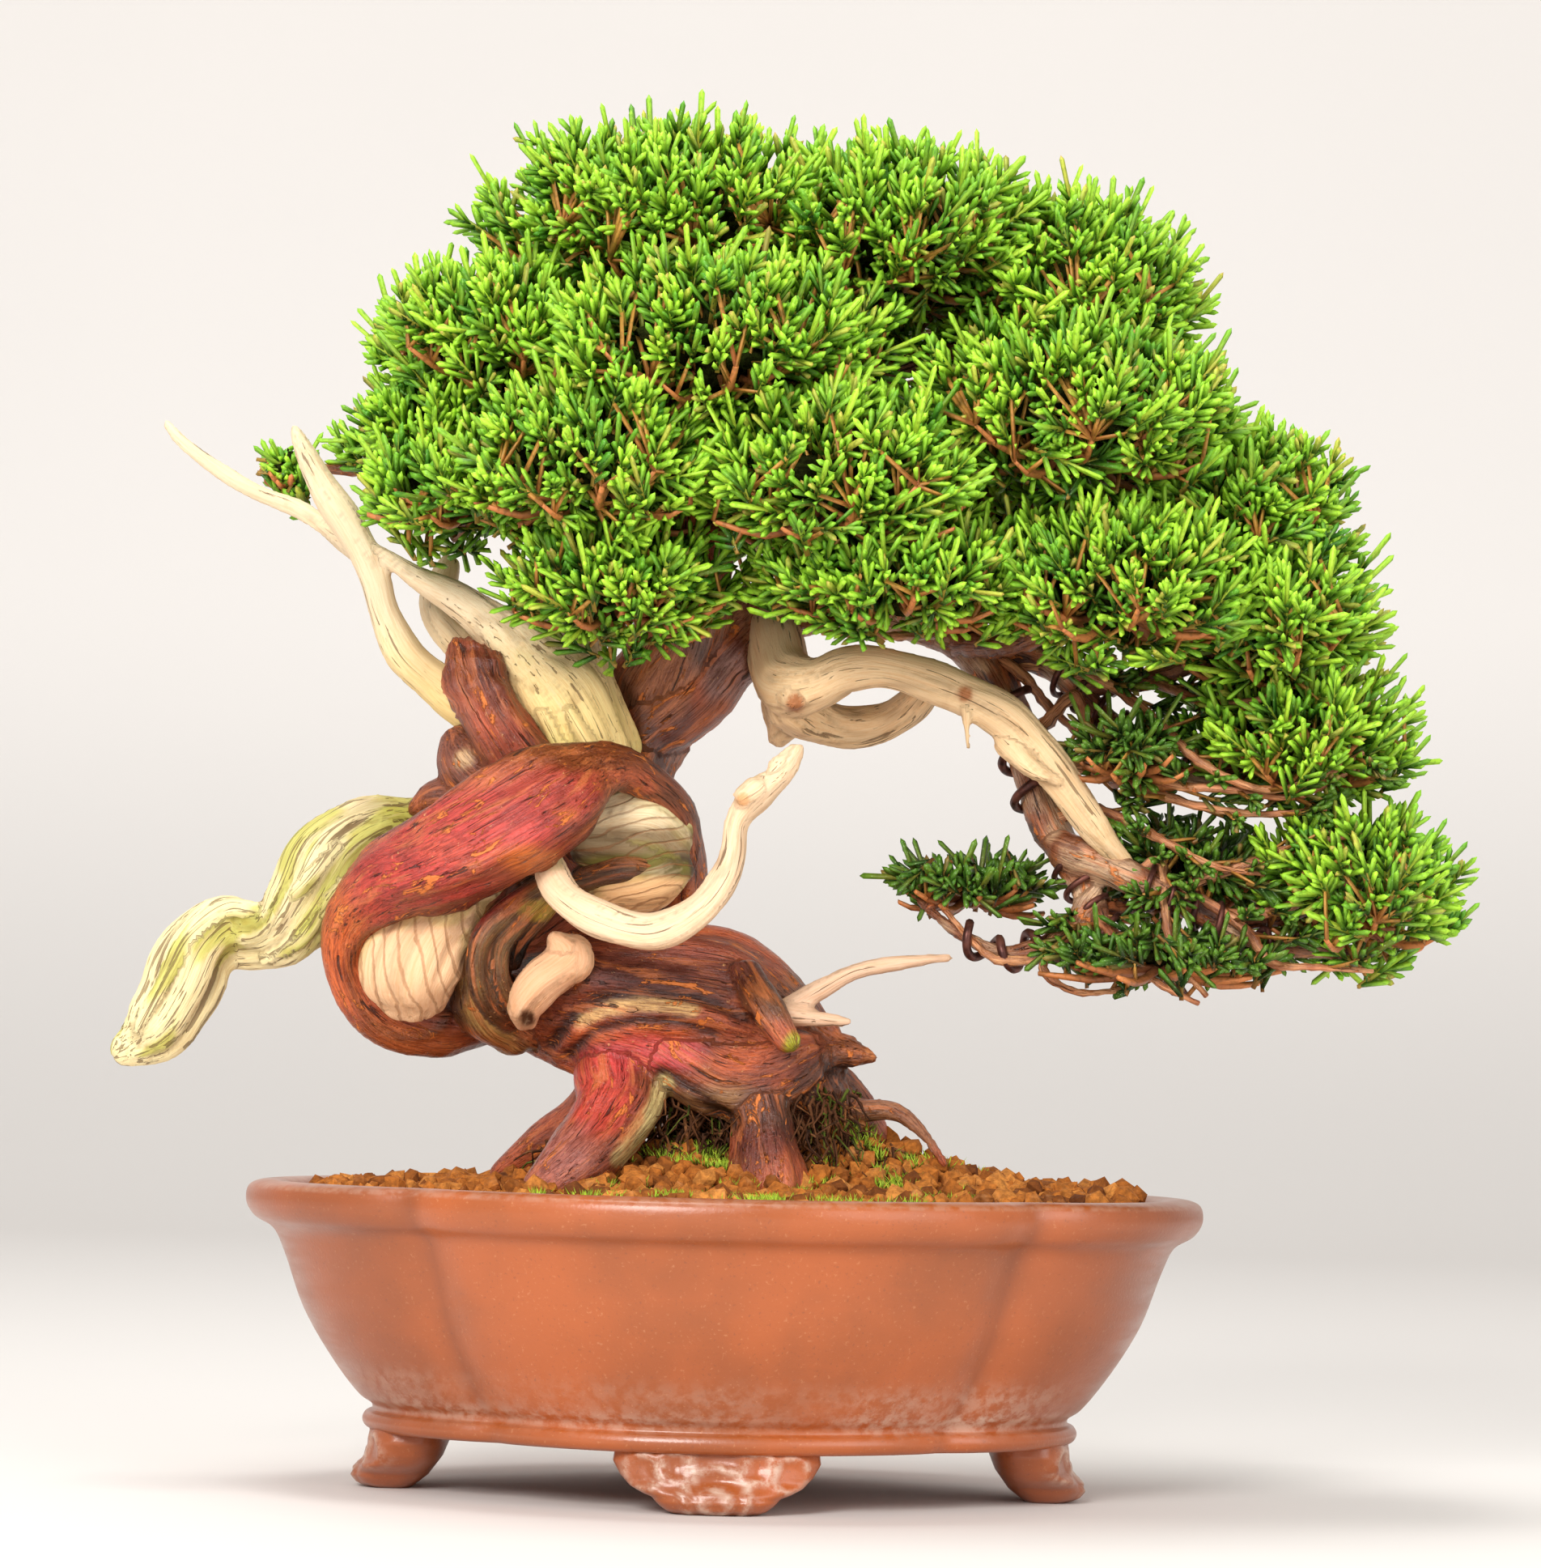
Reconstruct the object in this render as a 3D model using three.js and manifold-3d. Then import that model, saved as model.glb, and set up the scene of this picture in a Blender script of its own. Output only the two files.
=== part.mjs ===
import * as THREE from 'three';
import { mergeVertices } from 'three/addons/utils/BufferGeometryUtils.js';
import Module from 'manifold-3d';

// A palm-sized Chinese juniper bonsai in a quatrefoil clay pot. Millimetres, +Z up, front towards -Y.
// Every place is measured from the middle of the pot, on the surface that the pot stands on.

const wasm = await Module();
wasm.setup();

// Driving dimensions.
const GAP = 0.4;              // left between neighbouring pieces
const WELD = 1e-4;            // vertices closer than this are one
const RIM_HALF_WIDTH = 80;    // of the pot, at the widest of its lip
const PLAN_STEPS = 36;        // facets round the pot and the soil
const WIDE_LOBE = { halfWidth: 68, halfDepth: 62 };   // front and back of the quatrefoil
const SIDE_LOBE = { centre: 36, radius: 44 };         // left and right of it
const CREASE_SHARPNESS = 60;  // higher makes the four creases between the lobes sharper
const FOOT_HEIGHT = 9.5;
const FOOT_SINK = 1.5;        // how far a foot runs up into the base
const FOOT_REACH = 61;        // of a side foot's toe from the middle
const FOOT_MIDDLE = 52;       // of a side foot, from the middle of the pot
const FOOT_BLANK = 40;        // thickness that each of a foot's two outlines is cut through
const DRAIN_HOLE = { radius: 6, x: 24, z: 11.5, depth: 12, sides: 10 };
const SOIL_SLACK = 0.55;      // radial room between the soil and the pot's wall
const WIRE_RADIUS = 0.8;
const WIRE_STEPS_PER_TURN = 12;
const WIRE_SIDES = 4;
const WIRE_CLEARANCE = 1.4;   // lifts the wire by what its facets cut in towards the bark
const FLUTED_SIDES = 8;       // limbs with at least so many sides are fluted
const FLUTES = 3;
const FLUTE_DEPTH = 0.1;
const FLUTE_WINDING = 0.7;    // radians from one point of a path to the next
const TWIG_SIDES = 4;
const STEEP = 0.8;            // a path that climbs more than this is framed from the side
const TWIG_TIP_RADIUS = 0.9;
const CORE_SHARE = 0.66;      // of a foliage pad's half sizes, taken by its twiggy core
const SHOOT_RADIUS = 1.5;     // at the root of a shoot, which tapers to a point
const SHOOT_AREA = 282;       // square millimetres of pad surface for each shoot
const SHOOT_RISE = 0.35;      // how strongly the shoots turn up towards the light
const SHOOT_FEWEST = 12;      // shoots on even the smallest pad
const SHOOT_MIN_LENGTH = 2.5; // a shoot that would stand out less than this is left off
const SHOOT_SPREAD = 0.14;    // how much shorter than the pad's half size some shoots stop
const ROOT_SHARE = 0.5;       // shoots start this far out in the core
const LUMP_DEPTH = 0.16;
const LUMP_WAVES = [8, 7];    // across and along a pad
const UNDERSIDE_SHARE = 0.85; // of the half height, below a pad's middle
const CELL_MARGIN = 0.5;      // kept by a pad from the plane between it and its neighbour

const GOLDEN_ANGLE = Math.PI * (3 - Math.sqrt(5));
const SPREAD_A = 0.7548776662;  // the two steps of an evenly spreading sequence
const SPREAD_B = 0.5698402910;

// The pot's section from the middle of its underside, out and up, over the lip and down inside:
// [half width, height].
const POT_SECTION = [
  [0, 9.5], [56, 9.5], [59.2, 10.2], [59.4, 12], [58, 13.2], [59.4, 14.4], [65, 21.2],
  [70, 29.5], [73.4, 38.6], [75.6, 43], [79.2, 45.2], [80, 47.2], [79.4, 49.8], [77, 50.6],
  [73.4, 50.3], [71, 45], [67.6, 36], [62.6, 26], [56, 18.4], [48, 15.4], [0, 15],
];

// The soil's section below its surface, which follows the inside of the pot.
const SOIL_WALL = [[0, 15.5], [48, 15.9], [62.6, 26.4], [71, 45]];
const SOIL_RINGS = [70.5, 60, 48, 36, 24, 12, 0];
const SOIL_EDGE_HEIGHT = 48.6;
const SOIL_MOUNDS = [
  { x: -8, y: 0, spread: 24, height: 7.5 },
  { x: 26, y: 6, spread: 15, height: 7 },
  { x: 5, y: 9, spread: 12, height: 9 },
  { x: 17, y: 1, spread: 8, height: 6 },
  { x: 50, y: 4, spread: 20, height: 2.5 },
];
const SOIL_GRAIN_RELIEF = 1.1;
const SOIL_GRAIN_WAVES = [[1.7, 0.6], [-0.8, 1.3]];   // radians per millimetre along x and y

// Live wood under bark. Each limb is a path of [x, y, z, radius].
const LIVE_LIMBS = {
  lowerTrunk: {
    sides: 10,
    path: [[14, 0, 66, 7], [7, 0, 75, 10], [-3, -1, 79.5, 14], [-16, -2, 80.5, 13.5],
      [-26, -1, 81.5, 11], [-35, 6, 82, 7]],
  },
  skirt: {
    sides: 7,
    path: [[-12, -8, 76, 6.5], [-5, -9.5, 71.5, 6.7], [0, -10, 69.3, 6.6], [6.2, -9.5, 70, 5.7],
      [12.5, -8, 73, 4.8]],
  },
  fold: {
    sides: 7,
    path: [[-31, -13, 101.5, 4], [-39, -13, 97, 4.8], [-41.5, -12, 88.5, 4.8], [-40, -8, 80.5, 4.8],
      [-35, -3, 76.5, 5]],
  },
  heart: { sides: 6, path: [[-18, 3, 101, 6], [-27, 4, 95, 6.5], [-36, 5, 88, 6]] },
  coil: {
    sides: 10,
    path: [[-27.7, 8, 83, 6.9], [-40, 5, 80, 5.8], [-49, -3, 77.3, 5.2], [-58.3, -9, 79.6, 4.7],
      [-63, -14, 87.3, 4.3], [-62, -18.5, 94.5, 4.9], [-56, -23, 100, 6.4], [-47.5, -26.5, 103.5, 8],
      [-38, -28, 108.5, 9], [-29.2, -26, 114.4, 8.2], [-24, -22.5, 118.3, 5.4], [-19.3, -19, 119.7, 3.8],
      [-14.3, -14, 117.4, 3.3], [-10, -9, 113.4, 3.3], [-8.5, -3, 107.5, 3.4], [-8.8, 7, 99, 4.6]],
  },
  upperTrunk: {
    sides: 8,
    path: [[-14, 9, 92, 8], [-17.5, 10, 105, 8.8], [-19.5, 9, 119, 8], [-14.5, 7, 131.5, 8],
      [-8.5, 3, 147, 6.9], [-8, 0, 164, 6], [-9, 0, 180, 4.8], [-7, 0, 195, 3.8], [-4, 0, 210, 2.4]],
  },
  rightBranch: {
    sides: 7,
    path: [[-14, 6, 129.5, 7.5], [-9, 6.5, 134, 7.6], [-3.5, 8, 141, 7], [4, 12, 147.5, 5.4],
      [13, 15, 150.5, 4.6], [24, 16, 150, 4], [37, 15, 145.5, 3.6], [45, 8, 136, 3.3], [49, 4, 124, 3.1],
      [53, 2, 113, 3.2], [58, 0, 105, 2.9], [61, -2, 98, 2.3], [67, -4, 91, 1.6], [76, -5, 85, 1]],
  },
  thumb: {
    sides: 7,
    path: [[-24, -2, 108, 7.5], [-30.5, -8, 114.5, 6.2], [-34.3, -10, 119.8, 5.5], [-38, -12, 124.7, 4.9],
      [-41.2, -12, 129.7, 4.7], [-43.5, -11, 134.5, 4.8], [-44.5, -9, 139, 4.4]],
  },
  thumbKnob: {
    sides: 6,
    path: [[-32, -3, 112, 5.5], [-38.8, -4, 115.5, 5.2], [-42.3, -5, 119, 5.4], [-45.3, -5, 122.2, 4.9],
      [-47, -5, 125.2, 3]],
  },
  shoulderKnob: {
    sides: 6,
    path: [[-35, -2, 112, 5.4], [-41.6, -3, 114, 4.8], [-46.8, -3, 114.8, 4], [-50.4, -3, 114.6, 3.2],
      [-54, -2, 112.6, 1.5]],
  },
  leftRoot: {
    sides: 7,
    path: [[-13, -3, 74, 8], [-17.8, -7, 69, 7.3], [-17.6, -11.5, 63.9, 6.7], [-20.2, -16, 59.2, 6],
      [-24.4, -21, 54.5, 5.4], [-30, -25, 50, 3.6]],
  },
  backLeftRoot: {
    sides: 6,
    path: [[-13, 4, 73, 6], [-19, 5, 67.5, 5], [-25.5, 8, 61, 3.8], [-32, 11, 57, 3.2], [-39, 15, 51.5, 2]],
  },
  frontRoot: {
    sides: 6,
    path: [[3, -7, 70, 5.5], [5.2, -11, 64.5, 4.9], [6.3, -13, 59.6, 4.4], [6.7, -15, 54, 4.2],
      [6.8, -16, 50, 4]],
  },
  rightRoot: { sides: 7, path: [[8.5, 4, 70, 8], [15, 6, 65.5, 7], [20, 8, 60, 6], [25, 10, 52, 4.6]] },
  thinRightRoot: {
    sides: 5,
    path: [[16, 2, 65, 3], [22, 1, 64.2, 2.4], [28, -0.5, 64.3, 1.7], [32.7, -2, 60.9, 1.2],
      [36.7, -4, 55.5, 0.9]],
  },
  backRoot: { sides: 6, path: [[-3, 10, 74, 7], [-6, 24, 64, 5], [-11, 38, 53, 3], [-14, 44, 48, 2]] },
  cutStub: { sides: 6, path: [[2.5, -11, 87, 2.8], [6.5, -17, 80.5, 2.8], [10.3, -20, 75, 2.2]] },
  brokenStub: { sides: 6, path: [[11, -2, 76, 5.5], [18, -4, 74.3, 3.4], [25, -6, 73.2, 1.3]] },
  upperFork: {
    sides: 5,
    path: [[36, 14, 145, 3.2], [52, 8, 141, 2.6], [63, 4, 131, 2.1], [75, 2, 122, 1.7], [95, 1, 121, 1]],
  },
  lowerFork: {
    sides: 5,
    path: [[55, -1, 109, 3.1], [67, -6, 104, 2.8], [77, -8, 99, 2.3], [88, -8, 94, 1.8], [104, -8, 92, 1]],
  },
  returnFork: {
    sides: 5,
    path: [[61, -2, 101, 2.3], [55, -4, 94, 1.9], [46, -4, 91, 1.6], [38, -2, 94.5, 1.2],
      [31, 3, 100, 0.8]],
  },
};

// Bare dead wood, bleached where the bark is gone. Each node is one body of it.
const DEAD_LIMBS = {
  deadwood_tail: [
    {
      sides: 8,
      path: [[-44, 1, 110, 4.5], [-54.5, 1.5, 110.2, 4.4], [-61.4, -2, 108.8, 5.6], [-67, -5, 104.2, 6.4],
        [-70.8, -7, 97, 6.4], [-74.4, -5, 92.2, 5.2], [-80, 1, 90.8, 4.9], [-85.2, 2, 91.8, 5.6],
        [-89.6, -1, 88, 6.1], [-92.5, -3, 80.6, 6], [-96, -5, 74.6, 5], [-101.5, -6, 70.8, 2.2]],
    },
  ],
  deadwood_antlers: [
    {
      sides: 6,
      path: [[-34, 2, 121.5, 6.2], [-43.5, -2, 129, 4], [-49.5, -3, 133.6, 3.5], [-55.5, -5, 138.6, 3.2],
        [-59, -6, 145, 2.7], [-61.3, -7, 152.2, 2.6], [-65.3, -8, 159.8, 2.8], [-69.5, -8, 165.8, 2.5],
        [-72.9, -8, 171.8, 1.8], [-75.2, -8, 176.2, 0.8]],
    },
    {
      sides: 5,
      path: [[-64, -5.5, 156.2, 2.2], [-68.5, -1, 159.2, 1.7], [-74.5, 2.5, 163.3, 1.6],
        [-82.5, 4, 166.5, 1.5], [-90, 4.5, 170.8, 1.4], [-95.5, 5, 175, 1.1], [-98.2, 6, 178, 0.8]],
    },
    {
      sides: 7,
      path: [[-24, -3, 121, 8], [-28.3, -5, 130.8, 8.3], [-35.2, -6, 138.5, 5.9], [-41.4, -8, 144.2, 4],
        [-47.4, -8, 148.3, 3], [-53.5, -8.5, 151.3, 2.2], [-61, -9, 156.2, 0.9]],
    },
    {
      sides: 6,
      path: [[-31, 5, 128, 6.5], [-38.5, 6.5, 136, 5.6], [-46.5, 8, 143, 4.6], [-51, 10, 149, 3.6],
        [-49.5, 11.5, 156, 1.9]],
    },
    {
      sides: 7,
      path: [[-21.5, -1, 114, 6.6], [-24.3, -2.5, 121, 8.3], [-27, -3, 128, 9.4], [-30, -1, 136, 8.8],
        [-30, 2, 146, 7.3], [-19.5, 1, 160, 4]],
    },
  ],
  deadwood_crescent: [
    {
      sides: 6,
      path: [[-31, -20, 106, 2.4], [-27, -30, 98, 2.8], [-20, -34, 94, 3], [-12, -36, 92.6, 2.9],
        [-5, -37, 96.3, 2.7], [-1.2, -36, 101.6, 2.4], [0.2, -36, 105.8, 2.2], [0.9, -36, 111, 2],
        [4.6, -36, 115.6, 2.5], [8.8, -36, 119.2, 1.5], [10.8, -36, 123.2, 0.8]],
    },
  ],
  deadwood_swan: [
    {
      sides: 7,
      path: [[-25.4, -14, 90.5, 2.8], [-26.9, -15.5, 87.5, 4], [-31.2, -16.5, 84, 4], [-33.5, -15, 80.5, 3.3],
        [-33.5, -12, 77.6, 2]],
    },
  ],
  deadwood_cheek: [
    {
      sides: 8,
      path: [[-34, -13, 101.5, 4], [-42, -14, 98.6, 5.3], [-49, -14, 92.6, 8], [-52.3, -15, 86.5, 8.4],
        [-52, -13, 81.5, 6.2]],
    },
  ],
  deadwood_hollow: [
    { sides: 7, path: [[-22.2, -13, 111.1, 4.3], [-15.5, -12, 112, 5.4], [-10.2, -8, 108.3, 4.4]] },
    { sides: 6, path: [[-25, -13, 107.5, 3.8], [-18.1, -12, 107, 3.9], [-9.5, -7, 106.5, 3.2]] },
    { sides: 6, path: [[-22, -11, 99.8, 3.4], [-14, -10.5, 101, 4.6], [-9, -7, 104, 3.4]] },
  ],
  deadwood_arch: [
    {
      sides: 7,
      path: [[5, 9, 147, 4.2], [6.3, 4, 142, 4.9], [8.6, -2, 135.8, 5.3], [13.5, -7, 135.3, 4.3],
        [18.4, -9, 137.4, 3.6], [24, -10, 137.8, 3.2], [34.3, -10, 135, 3.3], [44.5, -10, 130.2, 3.5],
        [49.4, -9, 126, 3.3], [53.6, -9, 121, 3.1], [58.5, -8, 114.6, 2.9], [62.3, -7, 109.8, 2.2],
        [66.5, -5, 105.8, 1.3]],
    },
    {
      sides: 6,
      path: [[7.9, 0, 132.6, 4.4], [12.8, 5, 130.4, 4], [18.5, 8, 129, 3.4], [24.5, 7.5, 129.8, 3.1],
        [29, 2, 132, 2.8], [32, -5, 134.8, 2.5]],
    },
    { sides: 5, path: [[7.5, 4, 134.3, 3.5], [8, 7, 129.5, 3.2], [7, 8.5, 126.5, 1.8]] },
  ],
  deadwood_spur: [
    {
      sides: 5,
      path: [[8, -9, 80, 2.2], [15, -11, 84.3, 1.9], [21, -12, 87.5, 1.6], [28, -12, 89, 1.4],
        [36.5, -12, 90.1, 0.9]],
    },
    { sides: 5, path: [[9, -12, 80, 2], [20, -14, 79, 0.9]] },
  ],
};

// Training wires wound round two limbs, over part of each path: from and to are shares of its length.
const WIRES = {
  training_wire_branch: { limb: 'rightBranch', from: 0.55, to: 0.68, turns: 3 },
  training_wire_fork: { limb: 'returnFork', from: 0.2, to: 0.72, turns: 3 },
};

// Foliage pads: the middle of each, its half sizes out to the shoot tips, and where its twig leaves the
// wood, with its radius there.
const PADS = {
  foliage_apex: { at: [-11, -4, 211.5], half: [35, 38, 20], twig: [-6, 0, 201, 2.2] },
  foliage_apex_right: { at: [25, -4, 209], half: [30, 38, 20], twig: [-7, 0, 192, 2.4] },
  foliage_shoulder: { at: [53, 2, 201], half: [27, 36, 21], twig: [-8, 0, 184, 2.6] },
  foliage_left_high: { at: [-38, -6, 190.5], half: [27, 36, 17.5], twig: [-9, 0, 180, 2.4] },
  foliage_left_middle: { at: [-47, 4, 176.5], half: [24, 34, 14], twig: [-9, 0, 170, 2.4] },
  foliage_left_low: { at: [-44, -16, 165.5], half: [22, 26, 13], twig: [-8, 0, 158, 2.6] },
  foliage_left_tip: { at: [-77, 10, 171], half: [6.5, 7, 6], twig: [-43, 4, 176.5, 1.6] },
  foliage_front_high: { at: [-4, -34, 188], half: [32, 24, 19], twig: [-9, 0, 182, 2.4] },
  foliage_front_left: { at: [-24, -36, 168], half: [25, 24, 18], twig: [-8, 0, 166, 2.4] },
  foliage_front_low: { at: [-20, -24, 149.5], half: [22, 27, 14.5], twig: [-8, 0, 154, 2.6] },
  foliage_front_middle: { at: [16, -38, 166], half: [26, 23, 19], twig: [-8, 0, 164, 2.4] },
  foliage_front_right: { at: [26, -28, 151], half: [26, 27, 14], twig: [8, 13, 149, 2.4] },
  foliage_right_high: { at: [54, -22, 179], half: [30, 32, 20], twig: [36, 14, 146, 2.8] },
  foliage_right_far: { at: [83, 4, 165], half: [22, 36, 19], twig: [39, 13, 144, 2.8] },
  foliage_right_middle: { at: [62, -24, 151], half: [28, 28, 17], twig: [37, 13, 144, 2.4] },
  foliage_right_inner: { at: [66, -8, 125], half: [14, 18, 10], twig: [63, 4, 131, 1.8] },
  foliage_right_low: { at: [90, 0, 147], half: [21, 38, 20], twig: [57, 6, 137, 2.4] },
  foliage_right_edge: { at: [94, 2, 128.5], half: [22, 34, 16], twig: [75, 2, 122, 1.8] },
  foliage_drop_right: { at: [104, -2, 102.5], half: [20, 34, 17.5], twig: [80, -8, 98, 2] },
  foliage_drop_middle: { at: [77, 12, 104], half: [20, 28, 14], twig: [61, -2, 99, 1.8] },
  foliage_drop_low: { at: [72, -10, 91], half: [25, 18, 8], twig: [66, -4, 92, 1.5] },
  foliage_drop_left: { at: [40, 8, 102.5], half: [17, 20, 8], twig: [33, 1, 98.5, 1] },
  foliage_back_high: { at: [7, 35, 205], half: [38, 28, 22], twig: [-8, 0, 190, 2.4] },
  foliage_back_left: { at: [-36, 35, 180], half: [29, 28, 18], twig: [-9, 0, 172, 2.4] },
  foliage_back_middle: { at: [10, 37, 173], half: [34, 26, 21], twig: [-8, 1, 166, 2.4] },
  foliage_back_right: { at: [57, 36, 169], half: [33, 28, 21], twig: [34, 15, 146, 2.6] },
};

const MATERIALS = {
  clay: { color: 0xb4694a, roughness: 0.62, metalness: 0 },
  soil: { color: 0x9a4a22, roughness: 0.95, metalness: 0 },
  bark: { color: 0x84402c, roughness: 0.72, metalness: 0 },
  deadwood: { color: 0xe3cba6, roughness: 0.8, metalness: 0 },
  copper: { color: 0x4a2f27, roughness: 0.55, metalness: 0.6 },
  foliage: { color: 0x4f9a22, roughness: 0.65, metalness: 0 },
};

// Vertices as one closed solid: shared ones merged, and triangles that close up to nothing dropped.
function toSolid(geometry) {
  const bare = geometry.clone();
  bare.deleteAttribute('normal');
  bare.deleteAttribute('uv');
  const merged = mergeVertices(bare, WELD);
  const kept = [];
  for (let i = 0; i < merged.index.count; i += 3) {
    const [a, b, c] = [0, 1, 2].map((k) => merged.index.getX(i + k));
    if (a !== b && b !== c && c !== a) kept.push(a, b, c);
  }
  const vertProperties = new Float32Array(merged.attributes.position.array);
  return new wasm.Manifold(new wasm.Mesh({ numProp: 3, vertProperties, triVerts: new Uint32Array(kept) }));
}

function fromSolid(solid) {
  const mesh = solid.getMesh();
  const geometry = new THREE.BufferGeometry();
  geometry.setAttribute('position', new THREE.BufferAttribute(new Float32Array(mesh.vertProperties), 3));
  geometry.setIndex(new THREE.BufferAttribute(new Uint32Array(mesh.triVerts), 1));
  geometry.computeVertexNormals();
  return geometry;
}

const join = (solids) => solids.reduce((whole, solid) => whole.add(solid));

// The largest separate body of a solid, without the scraps that a cut leaves.
function mainBody(solid) {
  return solid.decompose().sort((a, b) => b.volume() - a.volume())[0];
}

function moveVertices(geometry, place) {
  const position = geometry.attributes.position;
  const vertex = new THREE.Vector3();
  for (let i = 0; i < position.count; i += 1) {
    vertex.fromBufferAttribute(position, i);
    place(vertex);
    position.setXYZ(i, vertex.x, vertex.y, vertex.z);
  }
  return geometry;
}

const fraction = (value) => value - Math.floor(value);

// Quatrefoil plan: how far the outline reaches at an angle, as a share of the rim's half width. A high
// power mean of a wide oval and two side circles rounds the creases where they meet.
function planFactor(angle) {
  const [c, s] = [Math.cos(angle), Math.sin(angle)];
  const reaches = [1 / Math.hypot(c / WIDE_LOBE.halfWidth, s / WIDE_LOBE.halfDepth)];
  for (const side of [1, -1]) {
    const along = side * SIDE_LOBE.centre * c;
    reaches.push(along + Math.sqrt(SIDE_LOBE.radius ** 2 - SIDE_LOBE.centre ** 2 + along ** 2));
  }
  const shares = reaches.map((reach) => (reach / RIM_HALF_WIDTH) ** CREASE_SHARPNESS);
  return shares.reduce((sum, share) => sum + share) ** (1 / CREASE_SHARPNESS);
}

// A section turned about Z, then drawn in to the quatrefoil plan.
function quatrefoil(section) {
  const profile = section.map(([x, z]) => new THREE.Vector2(x, z));
  const geometry = new THREE.LatheGeometry(profile, PLAN_STEPS).rotateX(Math.PI / 2);
  return moveVertices(geometry, (v) => {
    const factor = planFactor(Math.atan2(v.y, v.x));
    v.x *= factor;
    v.y *= factor;
  });
}

// A cloud foot, pointing along +X: its side view, an out-turned toe, crossed with its front view,
// which has a scroll at each side and narrows to the ground.
function cloudFoot() {
  const side = new THREE.Shape();
  side.moveTo(50, 0);
  side.lineTo(59, 0);
  side.quadraticCurveTo(61.5, 1, 60.5, 3.4);
  side.quadraticCurveTo(57, 5.5, 57.8, FOOT_HEIGHT + FOOT_SINK);
  side.lineTo(44, FOOT_HEIGHT + FOOT_SINK);
  side.quadraticCurveTo(45.5, 3, 50, 0);
  const front = new THREE.Shape();
  front.moveTo(-7.5, 0);
  front.lineTo(7.5, 0);
  front.quadraticCurveTo(10.5, 0.8, 11, 3);
  front.quadraticCurveTo(15, 2.6, 16, 5.8);
  front.quadraticCurveTo(17.4, 8, 16, FOOT_HEIGHT + FOOT_SINK);
  front.lineTo(-16, FOOT_HEIGHT + FOOT_SINK);
  front.quadraticCurveTo(-17.4, 8, -16, 5.8);
  front.quadraticCurveTo(-15, 2.6, -11, 3);
  front.quadraticCurveTo(-10.5, 0.8, -7.5, 0);
  const [sideCut, frontCut] = [side, front].map((outline) => (
    new THREE.ExtrudeGeometry(outline, { depth: FOOT_BLANK, bevelEnabled: false, curveSegments: 2 })
      .translate(0, 0, -FOOT_BLANK / 2).rotateX(Math.PI / 2)));
  frontCut.rotateZ(Math.PI / 2).translate(FOOT_MIDDLE, 0, 0);
  return toSolid(sideCut).intersect(toSolid(frontCut));
}

function potSolid() {
  const foot = cloudFoot();
  const feet = [0, 90, 180, 270].map((degrees) => {
    const inset = FOOT_REACH * (planFactor(THREE.MathUtils.degToRad(degrees)) - 1);
    return foot.translate([inset, 0, 0]).rotate([0, 0, degrees]);
  });
  const drains = [-1, 1].map((side) => {
    const { radius, x, z, depth, sides } = DRAIN_HOLE;
    const drill = new THREE.CylinderGeometry(radius, radius, depth, sides);
    return toSolid(drill.rotateX(Math.PI / 2).translate(side * x, 0, z));
  });
  return join([toSolid(quatrefoil(POT_SECTION)), ...feet]).subtract(join(drains));
}

// Height of the soil: level at the edge and mounded under the trunk, with relief as coarse as its grains.
function soilHeight(x, y) {
  let height = SOIL_EDGE_HEIGHT;
  for (const mound of SOIL_MOUNDS) {
    const distance = Math.hypot(x - mound.x, y - mound.y) / mound.spread;
    height += mound.height * Math.exp(-distance * distance);
  }
  const waves = SOIL_GRAIN_WAVES.map(([alongX, alongY]) => Math.sin(alongX * x + alongY * y));
  return height + SOIL_GRAIN_RELIEF * waves[0] * waves[1];
}

function soilSolid() {
  const surface = SOIL_RINGS.map((radius) => [radius, SOIL_EDGE_HEIGHT]);
  const wall = SOIL_WALL.map(([radius, z]) => [Math.max(radius - SOIL_SLACK, 0), z]);
  const geometry = quatrefoil([...wall, ...surface]);
  return toSolid(moveVertices(geometry, (v) => {
    if (v.z > SOIL_EDGE_HEIGHT - WELD) v.z = soilHeight(v.x, v.y);
  }));
}

const pathCurve = (path) => new THREE.CatmullRomCurve3(
  path.map(([x, y, z]) => new THREE.Vector3(x, y, z)), false, 'centripetal');

// Radius at a share of a path, in a straight line from one of its points to the next.
function pathRadius(path, share) {
  const place = share * (path.length - 1);
  const before = Math.min(Math.floor(place), path.length - 2);
  return THREE.MathUtils.lerp(path[before][3], path[before + 1][3], place - before);
}

// Places along a curve, each with the direction of the curve and two directions square to it, which
// turn no more than the curve does.
function sweepFrames(curve, steps, from = 0, to = 1) {
  const frames = [];
  let across = null;
  for (let i = 0; i <= steps; i += 1) {
    const share = THREE.MathUtils.lerp(from, to, i / steps);
    const along = curve.getTangent(share);
    if (!across) across = new THREE.Vector3(...(Math.abs(along.z) > STEEP ? [1, 0, 0] : [0, 0, 1]));
    across = across.clone().addScaledVector(along, -across.dot(along)).normalize();
    const beside = new THREE.Vector3().crossVectors(along, across);
    frames.push({ share, centre: curve.getPoint(share), along, across, beside });
  }
  return frames;
}

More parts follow.
